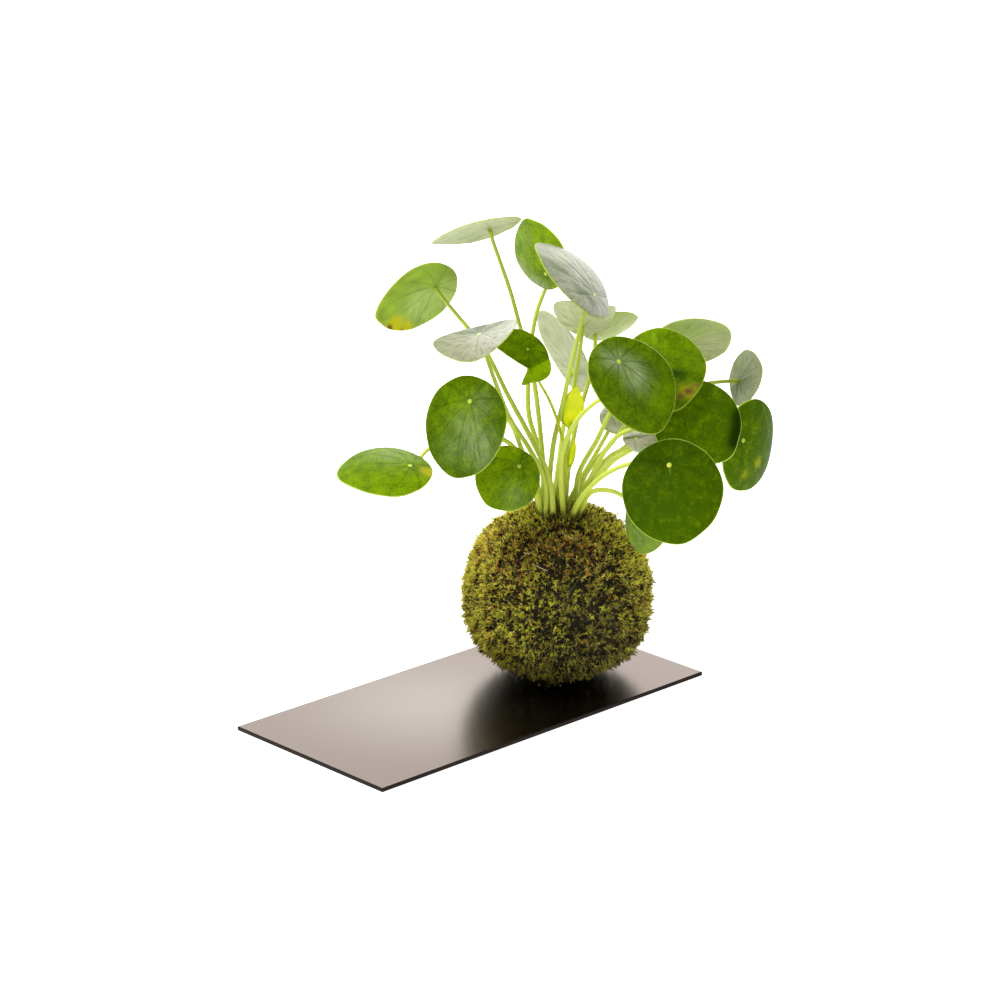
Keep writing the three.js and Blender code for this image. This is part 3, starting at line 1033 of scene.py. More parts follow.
# Finishes for leaves with much bloom: less light through and a paler wax colour, which is partly painted
# sheen.
WAXY_SHEENED_UPPER = replace(
    LEAF_UPPER,
    name="leaf upper face with wax",
    glow=0.36,
    specular=0.35,
    bloom_and_sheen=0.85,
    vein=(0.14, 0.16, 0.08),
    glow_wax_and_sheen=(0.20, 0.22, 0.10),
    wax_and_sheen=(0.66, 0.59, 0.47),
    wax_and_sheen_floor=0.5,
)
WAXY_SHEENED_LOWER = replace(
    LEAF_LOWER,
    name="leaf lower face with wax",
    glow=0.45,
    specular=0.35,
    bloom_and_sheen=0.85,
    vein=(0.16, 0.20, 0.08),
    wax_and_sheen=(0.68, 0.67, 0.50),
    wax_and_sheen_floor=0.3,
)
# Painted highlight: the rim is far paler than the faces of the blade.
LEAF_RIM_LIGHT = PaintedRimLightFinish("leaf rim", colour=(0.30, 0.40, 0.07), glow=(0.66, 0.78, 0.14))
LIME = StalkFinish(
    "stalk",
    foot=(0.15, 0.19, 0.008),
    middle=(0.40, 0.42, 0.012),
    tip=(0.42, 0.44, 0.018),
    glow=(1.0, 0.97, 0.015),
    ridge=(0.20, 0.24, 0.005),
)
OLIVE = StalkFinish(
    "thin stalk",
    foot=(0.55, 0.58, 0.03),
    middle=(0.66, 0.68, 0.04),
    tip=(0.62, 0.66, 0.04),
    glow=(1.0, 1.0, 0.05),
    ridge=(0.46, 0.50, 0.02),
    share=0.6,
)
BUD_OUTSIDE = StalkFinish(
    "young leaf outside",
    foot=(0.62, 0.66, 0.01),
    middle=(0.52, 0.62, 0.006),
    tip=(0.34, 0.48, 0.005),
    glow=(0.92, 1.0, 0.01),
    ridge=(0.36, 0.54, 0.005),
    share=0.6,
    coat=0.05,
)
BUD_INSIDE = StalkFinish(
    "young leaf inside",
    foot=(0.90, 0.86, 0.01),
    middle=(1.0, 0.88, 0.006),
    tip=(0.94, 0.86, 0.006),
    glow=(1.0, 0.96, 0.01),
    ridge=(0.84, 0.82, 0.006),
    share=0.6,
    coat=0.05,
)
MOSS_BASE = EarthFinish("moss base", dark=(0.012, 0.008, 0.002), light=(0.045, 0.034, 0.006))
SOIL = EarthFinish("soil", dark=(0.015, 0.010, 0.006), light=(0.09, 0.06, 0.035), scale=180.0)
BARK = BarkFinish("crown bark", dark=(0.05, 0.035, 0.012), light=(0.22, 0.19, 0.05))
DRY_SCALE = BarkFinish("dry scale", dark=(0.10, 0.06, 0.02), light=(0.42, 0.33, 0.10), share=0.35)
# Painted shade: the binding thread is coloured far darker than the loose ends, for the shade of the moss
# round it.
STRAND_IN_PAINTED_SHADE = ThreadFinish("binding thread", pale=(0.30, 0.28, 0.10), dull=(0.13, 0.11, 0.03))
LOOSE_STRAND = ThreadFinish("loose thread", pale=(1.0, 0.94, 0.48), dull=(0.82, 0.74, 0.32))
SATIN_BLACK = PlateFinish(
    "satin black",
    colour=(0.045, 0.033, 0.029),
    wiped=(0.062, 0.050, 0.045),
    gleam=(1.0, 0.95, 0.91),
    roughness=0.25,
    haze_and_sheen=(0.092, 0.084, 0.078),
    edge=(0.011, 0.008, 0.007),
)


@dataclass(frozen=True)
class Plate:
    """The thin base plate, which keeps its own solid."""

    node: str = "base_plate"

    def build(self) -> None:
        """Gives the plate its lacquer."""
        dress_solid(self.node, SATIN_BLACK)


class MossKind(Enum):
    """The kinds of moss shoot, each with its finish."""

    GOLD = MossFinish(
        "moss gold", foot=(0.10, 0.055, 0.001), middle=(1.0, 0.76, 0.02), tip=(1.0, 0.95, 0.14)
    )
    GREEN = MossFinish(
        "moss green", foot=(0.028, 0.022, 0.001), middle=(0.40, 0.42, 0.006), tip=(0.94, 0.96, 0.09)
    )
    OLIVE = MossFinish(
        "moss olive", foot=(0.010, 0.006, 0.001), middle=(0.095, 0.068, 0.005), tip=(0.50, 0.44, 0.08)
    )
    RUSSET = MossFinish(
        "moss russet", foot=(0.05, 0.018, 0.002), middle=(0.46, 0.20, 0.018), tip=(0.92, 0.54, 0.10)
    )


@dataclass(frozen=True)
class Patch:
    """A part of the moss where one kind takes over: its bearing, height, radius and how much it does."""

    kind: MossKind
    bearing: float
    height: float
    radius: float
    weight: float


# The gold patches on the ball's left and right sides are partly painted light: they also stand for the
# brightness that the lights from behind and above give those edges.
MOSS_PATCHES = (
    Patch(MossKind.GOLD, 205, 108, 32, 3.4),
    Patch(MossKind.GOLD, 209, 63, 38, 1.9),
    Patch(MossKind.GOLD, 193, 85, 40, 1.5),
    Patch(MossKind.GOLD, 224, 39, 26, 1.2),
    Patch(MossKind.GOLD, 334, 70, 22, 3.2),
    Patch(MossKind.GOLD, 331, 107, 22, 2.4),
    Patch(MossKind.GOLD, 90, 76, 60, 0.6),
    Patch(MossKind.RUSSET, 198, 99, 12, 4.5),
    Patch(MossKind.RUSSET, 206, 107, 11, 2.0),
    Patch(MossKind.RUSSET, 232, 94, 12, 2.4),
    Patch(MossKind.RUSSET, 243, 108, 12, 2.0),
    Patch(MossKind.RUSSET, 245, 82, 7, 1.2),
    Patch(MossKind.RUSSET, 283, 42, 4, 3.0),
    Patch(MossKind.RUSSET, 298, 102, 13, 2.0),
    Patch(MossKind.RUSSET, 273, 107, 14, 2.0),
    Patch(MossKind.RUSSET, 338, 66, 8, 0.6),
    Patch(MossKind.OLIVE, 287, 117, 16, 2.2),
    Patch(MossKind.OLIVE, 276, 104, 10, 1.2),
    Patch(MossKind.OLIVE, 300, 87, 12, 3.0),
    Patch(MossKind.OLIVE, 289, 63, 24, 1.2),
    Patch(MossKind.OLIVE, 306, 38, 36, 4.0),
    Patch(MossKind.OLIVE, 270, 8, 42, 1.6),
    Patch(MossKind.GREEN, 262, 60, 32, 1.0),
    Patch(MossKind.GREEN, 329, 91, 12, 0.7),
)


@dataclass(frozen=True)
class MossBall:
    """The ball: a lumpy base that shuts out the light, and thousands of leafy shoots that stand on it.

    usual_length is a shoot's mean length and how far it varies. In the heights of mouth_zone the shoots
    grow longer and leave the stalks free. chances gives each kind's weight away from the patches.
    """

    radius: float = 65.5
    upper: float = 66.4
    lower: float = 53.0
    fullness: float = 2.35
    mouth: float = 21.0
    rest: float = 0.5
    wall: float = 9.0
    sink: float = 3.2
    sides: int = 120
    rows: int = 64
    inner_rows: int = 12
    clump: float = 1.15
    shoots: int = 32500
    usual_length: Pair = (3.7, 0.8)
    length_limits: Pair = (2.2, 6.0)
    mouth_zone: Pair = (100.0, 117.0)
    mouth_growth: float = 2.2
    scatter: float = 0.62
    chances: tuple[float, ...] = (0.5, 0.9, 0.8, 0.16)
    patch_gain: float = 2.5
    stalk_room: float = 2.3
    plate_room: float = 0.25
    seed: int = 7

    def tussock(self, bearing: Array, height: Array) -> Array:
        """How far the moss stands out or in.

        Args:
            bearing: bearings in radians.
            height: heights over the plate.

        Returns:
            Millimetres, in for less than 0.
        """
        broad = np.sin(3 * bearing + 0.05 * height) * np.sin(0.06 * height + 0.8)
        small = np.sin(8 * bearing - 0.11 * height) * np.sin(0.17 * height + 2 * bearing)
        fine = np.sin(15 * bearing + 0.3 * height) * np.cos(0.29 * height - 5 * bearing)
        return 0.8 * broad + 0.7 * small + 0.5 * fine

    def other_share(self, share: Array) -> Array:
        """One half size of the full round form from the other, both as shares of their greatest size."""
        return np.maximum(0.0, 1 - np.abs(share) ** self.fullness) ** (1 / self.fullness)

    def side(self, inset: float, low: float, rows: int) -> Array:
        """The [radius, height] pairs of the ball's side from a height up to its mouth.

        Args:
            inset: how far the side is drawn in from the moss's own.
            low: the height of the first pair.
            rows: how many steps there are.

        Returns:
            One pair for each row, close together at the poles.
        """
        half_turn = self.fullness / 2
        high = float(self.other_share(self.mouth / (self.radius - inset)))
        start = math.acos(((self.lower - low) / (self.lower - inset)) ** half_turn)
        end = math.pi - math.acos(high**half_turn)
        level = -np.cos(np.linspace(start, end, rows + 1))
        half = np.where(level > 0, self.upper, self.lower) - inset
        share = np.sign(level) * np.abs(level) ** (1 / half_turn)
        return np.stack([(self.radius - inset) * self.other_share(share), self.lower + half * share], -1)

    def reach(self, way: Array) -> Array:
        """How far the skin is from the ball's middle in a direction.

        Args:
            way: unit vectors.

        Returns:
            The distance in each of these directions.
        """
        half = np.where(way[..., 2] > 0, self.upper, self.lower)
        flat = np.hypot(way[..., 0], way[..., 1]) / self.radius
        steep = np.abs(way[..., 2]) / half
        return (flat**self.fullness + steep**self.fullness) ** (-1 / self.fullness)

    def base(self) -> Form:
        """The lumpy shell under the shoots, open at its mouth.

        Returns:
            A closed body, with the hollow for the soil in it.
        """
        outer = self.side(self.sink, self.sink + self.rest, self.rows)
        outer[0, 1] = self.rest
        inner = self.side(self.wall, self.wall, self.inner_rows)[::-1]
        side = np.concatenate([outer, inner])
        bearing = np.linspace(0, 2 * math.pi, self.sides, endpoint=False)[None, :]
        radius, height = side[:, :1], side[:, 1:]
        skin = (np.arange(len(side)) <= self.rows)[:, None]
        lumps = 0.7 * np.sin(41 * bearing + 0.9 * height) * np.sin(0.83 * height - 23 * bearing)
        lift = np.where(skin, (self.tussock(bearing, height) + lumps) * smooth(1.0, 8.0, height), 0.0)
        out = radius + lift
        turned = [out * np.cos(bearing), out * np.sin(bearing), np.broadcast_to(height, out.shape)]
        rings = np.stack(turned, -1)
        ends = [np.array([0, 0, side[0, 1]]), np.array([0, 0, side[-1, 1]])]
        points, quads, fans = closed_skin(rings, *ends)
        return Form.of(points, quads, fans)

    def roots(self, draw: np.random.Generator) -> tuple[Array, Array, Array]:
        """Where the shoots stand, in clumps with gaps between them.

        Args:
            draw: the source of random numbers.

        Returns:
            Each shoot's foot, the way out of the moss there, and its length.
        """
        side = self.side(self.sink + 0.4, self.sink + 0.5, 400)
        step = np.diff(side, axis=0)
        area = np.hypot(step[:, 0], step[:, 1]) * (side[1:, 0] + side[:-1, 0])
        run = np.concatenate([[0.0], np.cumsum(area)])
        number = np.arange(self.shoots)
        want = run[-1] * (number + draw.random(self.shoots)) / self.shoots
        radius, height = (np.interp(want, run, side[:, axis]) for axis in range(2))
        tangent = unit(np.gradient(side, axis=0))
        fall, climb = (np.interp(want, run, tangent[:, axis]) for axis in range(2))
        bearing = number * EVEN_TURN + draw.normal(0, 0.02, self.shoots)
        out = radius + self.tussock(bearing, height) * smooth(1.0, 8.0, height)
        feet = np.stack([out * np.cos(bearing), out * np.sin(bearing), height], -1)
        clump = clumps(feet)
        rise = clump * self.clump * smooth(2, 9, height)
        feet = feet + rise[:, None] * unit(feet - [0, 0, self.lower])
        away = unit(np.stack([climb * np.cos(bearing), climb * np.sin(bearing), -fall], -1))
        length = np.clip(draw.normal(*self.usual_length, self.shoots), *self.length_limits)
        length = length * (1 + 0.15 * clump)
        length += smooth(*self.mouth_zone, height) * draw.random(self.shoots) ** 2 * self.mouth_growth
        return feet, away, length

    def kinds(self, feet: Array, draw: np.random.Generator) -> Array:
        """The number of each shoot's kind, from the patches and chance.

        Args:
            feet: where the shoots stand.
            draw: the source of random numbers.

        Returns:
            A number for each shoot, in the order of MossKind.
        """
        kinds = list(MossKind)
        weight = np.tile(self.chances, (len(feet), 1))
        for patch in MOSS_PATCHES:
            half = self.upper if patch.height > self.lower else self.lower
            ring = self.radius * self.other_share((patch.height - self.lower) / half)
            centre = heading(patch.bearing) * ring + [0, 0, patch.height]
            near = np.exp(-np.sum((feet - centre) ** 2, -1) / patch.radius**2)
            weight[:, kinds.index(patch.kind)] += patch.weight * near * self.patch_gain
        share = np.cumsum(weight / weight.sum(-1, keepdims=True), -1)
        return (draw.random((len(feet), 1)) > share).sum(-1)

    def build(self, stalk_feet: Array) -> None:
        """Makes the base, and one piece for each kind of shoot.

        Args:
            stalk_feet: the lines of the stalks near the moss, which the shoots leave free, as n by 3.
        """
        base = self.base().mesh("moss_base")
        dress_piece("moss_base", base, [MOSS_BASE], ["moss_ball"])
        draw = np.random.default_rng(self.seed)
        feet, away, length = self.roots(draw)
        sets = [(feet, away, length), CapShoots().roots(draw), Tuft().roots(draw)]
        feet, away, length = (np.concatenate(same) for same in zip(*sets))
        kinds = self.kinds(feet, draw)
        form = ShootForm()
        lean = unit(away + draw.normal(0, self.scatter, away.shape) + [0, 0, 0.1])
        tips = feet + lean * length[:, None]
        reach = np.linalg.norm(tips[:, None, :2] - stalk_feet[None, :, :2], axis=-1)
        clear = (reach.min(-1) > self.stalk_room) | (feet[:, 2] < self.mouth_zone[0])
        low = feet[:, 2] + np.minimum(lean[:, 2], 0) * length - 0.42 * length
        keep = clear & (low > self.plate_room) & (np.hypot(feet[:, 0], feet[:, 1]) > 0.5)
        front = feet[:, 1] < 0
        for number, kind in enumerate(MossKind):
            for side, here in (("front", front), ("back", ~front)):
                chosen = keep & here & (kinds == number)
                shoots = form.grow(feet[chosen], lean[chosen], length[chosen], draw)
                name = f"moss_{kind.name.lower()}_{side}"
                dress_piece(name, shoots.mesh(name), [kind.value])


@dataclass(frozen=True)
class CapShoots:
    """The shoots that close the mouth of the ball between the stalks."""

    radius: float = 21.5
    height: float = 112.0
    rise: float = 3.5
    count: int = 700

    def roots(self, draw: np.random.Generator) -> tuple[Array, Array, Array]:
        """Feet, ways out and lengths, as for the ball's own shoots.

        Args:
            draw: the source of random numbers.

        Returns:
            Each shoot's foot, the way out of the moss there, and its length.
        """
        number = np.arange(self.count)
        out = self.radius * np.sqrt((number + 0.5) / self.count)
        bearing = number * EVEN_TURN
        height = self.height + self.rise * (out / self.radius) ** 2 - 0.5 * draw.random(self.count)
        feet = np.stack([out * np.cos(bearing), out * np.sin(bearing), height], -1)
        away = np.stack([0.02 * feet[:, 0], 0.02 * feet[:, 1], np.ones(self.count)], -1)
        return feet, unit(away), draw.uniform(4.5, 8.5, self.count)


@dataclass(frozen=True)
class Tuft:
    """A tuft that has slipped down at the front and lies on the plate."""

    centre: Point = (-5.5, -33.0, 3.2)
    spread: Point = (3.2, 2.8, 0.8)
    count: int = 260

    def roots(self, draw: np.random.Generator) -> tuple[Array, Array, Array]:
        """Feet, ways out and lengths, as for the ball's own shoots.

        Args:
            draw: the source of random numbers.

        Returns:
            Each shoot's foot, the way out of the moss there, and its length.
        """
        feet = draw.normal(0, 1, (self.count, 3)) * self.spread + self.centre
        feet[:, 2] = np.maximum(feet[:, 2], 2.2)
        away = unit(np.array([0.0, -0.85, -0.15]) + draw.normal(0, 0.3, (self.count, 3)))
        return feet, away, draw.uniform(2.4, 3.8, self.count)


@dataclass(frozen=True)
class ShootForm:
    """A moss shoot: a thin stem with small pointed leaves all round it."""

    leaflets: int = 4
    stem: float = 0.06
    first: float = 0.30
    reach: float = 0.52
    width: float = 0.105
    rise: float = math.radians(42)

    def template(self) -> tuple[Array, Array]:
        """One shoot of unit length along +Z.

        Returns:
            Its points and its triangles.
        """
        points, faces = [], []

        def spike(left: Array, right: Array, under: Array, tip: Array) -> None:
            """Adds one closed spike.

            Args:
                left: a corner of its foot.
                right: another corner.
                under: the third corner.
                tip: its end.
            """
            start = len(points)
            points.extend([left, right, under, tip])
            faces.extend([[start, start + 1, start + 3], [start + 1, start + 2, start + 3]])
            faces.extend([[start + 2, start, start + 3], [start + 1, start, start + 2]])

        corners = [heading(bearing) * self.stem for bearing in (0, 120, 240)]
        spike(corners[0], corners[1], corners[2], np.array([0.0, 0.0, 0.98]))
        for i in range(self.leaflets):
            part = i / (self.leaflets - 1)
            out = heading(100.0 * i)
            across = np.array([-out[1], out[0], 0.0])
            seat = np.array([0, 0, self.first + (0.82 - self.first) * part])
            steep = self.rise + 0.35 * part
            way = out * math.cos(steep) + np.array([0, 0, math.sin(steep)])
            size = self.reach * (1 - 0.3 * part)
            wide = self.width * (1 - 0.25 * part)
            under = seat - way * 0.02 + np.array([0, 0, -0.05])
            tip = seat + way * size
            spike(seat + across * wide, seat - across * wide, under, tip)
        return np.array(points), np.array(faces)

    def grow(self, feet: Array, lean: Array, length: Array, draw: np.random.Generator) -> Form:
        """Many shoots as one form.

        Args:
            feet: where each shoot stands.
            lean: the way that it grows.
            length: how long it is.
            draw: the source of random numbers.

        Returns:
            The form, with each point's place on its shoot and the shoot's shade, painted darker in the gaps
            between clumps.
        """
        points, faces = self.template()
        count = len(feet)
        spin = draw.uniform(0, 2 * math.pi, count)
        aside = unit(np.cross(lean, np.array([0.31, 0.57, 0.76])))
        ahead = np.cross(lean, aside)
        first = aside * np.cos(spin)[:, None] + ahead * np.sin(spin)[:, None]
        second = np.cross(lean, first)
        wide = draw.uniform(0.8, 1.25, (count, 1, 1))
        local = points[None] * length[:, None, None]
        bow = draw.normal(0, 0.12, (count, 1, 1))
        bend = (points[:, 2] ** 2)[None, :, None] * length[:, None, None] * bow
        placed = feet[:, None] + local[..., :1] * wide * first[:, None]
        placed = placed + local[..., 1:2] * wide * second[:, None]
        placed = placed + local[..., 2:] * lean[:, None] + bend * first[:, None]
        # Painted shade: the first clumps term darkens the shoots in the gaps between clumps, which also stand
        # lower; the second gives broader darker and lighter patches, over a random tone for each shoot.
        shade = 0.15 + 0.7 * draw.random(count) + 0.42 * clumps(feet) + 0.2 * clumps(0.3 * feet)
        leaflet = np.repeat(draw.uniform(-0.45, 0.45, (count, len(points) // 4)), 4, axis=1)
        along = np.broadcast_to(points[:, 2], leaflet.shape)
        marks = np.stack([along, shade[:, None] + leaflet, np.zeros_like(leaflet)], -1)
        joined = (faces[None] + np.arange(count)[:, None, None] * len(points)).reshape(-1, 3)
        return Form.of(placed.reshape(-1, 3), joined, shoot=marks.reshape(-1, 3))


def resample(path: Array, steps: int) -> Array:
    """A path's points spaced evenly along it.

    Args:
        path: many points close together.
        steps: how many steps the result has.

    Returns:
        One point more than there are steps.
    """
    run = np.concatenate([[0.0], np.cumsum(np.linalg.norm(np.diff(path, axis=0), axis=1))])
    want = np.linspace(0, run[-1], steps + 1)
    return np.stack([np.interp(want, run, path[:, axis]) for axis in range(3)], -1)


def curve_through(points: Array, per_span: int = 40) -> Array:
    """A smooth curve through points, its spans eased by the roots of their lengths.

    Args:
        points: the points that it passes.
        per_span: how many points the result has between two of them.

    Returns:
        Many points close together.
    """
    ends = [2 * points[0] - points[1], 2 * points[-1] - points[-2]]
    full = np.concatenate([ends[:1], points, ends[1:]])
    t = np.linspace(0, 1, per_span, endpoint=False)[:, None]
    spans = []
    for p0, p1, p2, p3 in zip(full, full[1:], full[2:], full[3:]):
        d0, d1, d2 = (math.sqrt(np.linalg.norm(b - a)) for a, b in ((p0, p1), (p1, p2), (p2, p3)))
        t1 = ((p1 - p0) / d0 - (p2 - p0) / (d0 + d1) + (p2 - p1) / d1) * d1
        t2 = ((p2 - p1) / d1 - (p3 - p1) / (d1 + d2) + (p3 - p2) / d2) * d1
        square = -3 * p1 + 3 * p2 - 2 * t1 - t2
        cube = 2 * p1 - 2 * p2 + t1 + t2
        spans.append(p1 + t1 * t + square * t**2 + cube * t**3)
    return np.concatenate([*spans, points[-1:]])


def sweep(path: Array, across: Array, wide: Array, deep: Array, sides: int) -> Array:
    """Rings of points round a path.

    Args:
        path: the points of the path.
        across: a vector that stays square to the path's own plane.
        wide: the half width at each point, towards across.
        deep: the half depth at each point.
        sides: how many points a ring has.

    Returns:
        The rings, as rows by sides by 3.
    """
    tangent = unit(np.gradient(path, axis=0))
    depth = unit(np.cross(across, tangent))
    side = np.cross(tangent, depth)
    turn = np.linspace(0, 2 * math.pi, sides, endpoint=False)
    ring_x = np.cos(turn)[None, :, None] * wide[:, None, None] * side[:, None]
    ring_y = np.sin(turn)[None, :, None] * deep[:, None, None] * depth[:, None]
    return path[:, None] + ring_x - ring_y


@dataclass(frozen=True)
class Mark:
    """A round patch of a blade: its centre and radius in half lengths of the blade, and its state."""

    x: float
    y: float
    radius: float
    yellow: float = 0.0
    brown: float = 0.0
    wax_and_sheen: float = 0.0
    tone: float = 0.0


@dataclass(frozen=True)
class Leaf:
    """One leaf as it stands in the plant's frame.

    at is where the stalk meets the blade. turn is the tip's bearing, its dip below the horizon and the bank
    about the midrib, in degrees. bow is how far the blade bows down along and across. ring and bearing give
    the stalk's foot, and via the points that the stalk passes. tone runs from 0, dark, to 1, bright, and
    below 0 paints shade. bloom says how thick the pale wax on the blade is; that pale colour is partly wax
    and partly painted sheen. A thin leaf has a thinner stalk, and a cleft one a split blade.
    """

    at: Point
    turn: Point
    length: float
    bow: Pair
    ring: Ring
    bearing: float
    via: tuple[Point, ...]
    tone: float = 0.35
    marks: tuple[Mark, ...] = ()
    bloom_and_sheen: float = 0.1
    thin: bool = False
    cleft: bool = False

    def frame(self) -> Array:
        """The blade's turn as a matrix: +X is its tip and +Z the side that its upper face looks to."""
        bearing, dip, bank = (math.radians(angle) for angle in self.turn)
        return turn_about(2, bearing) @ turn_about(1, dip) @ turn_about(0, bank)


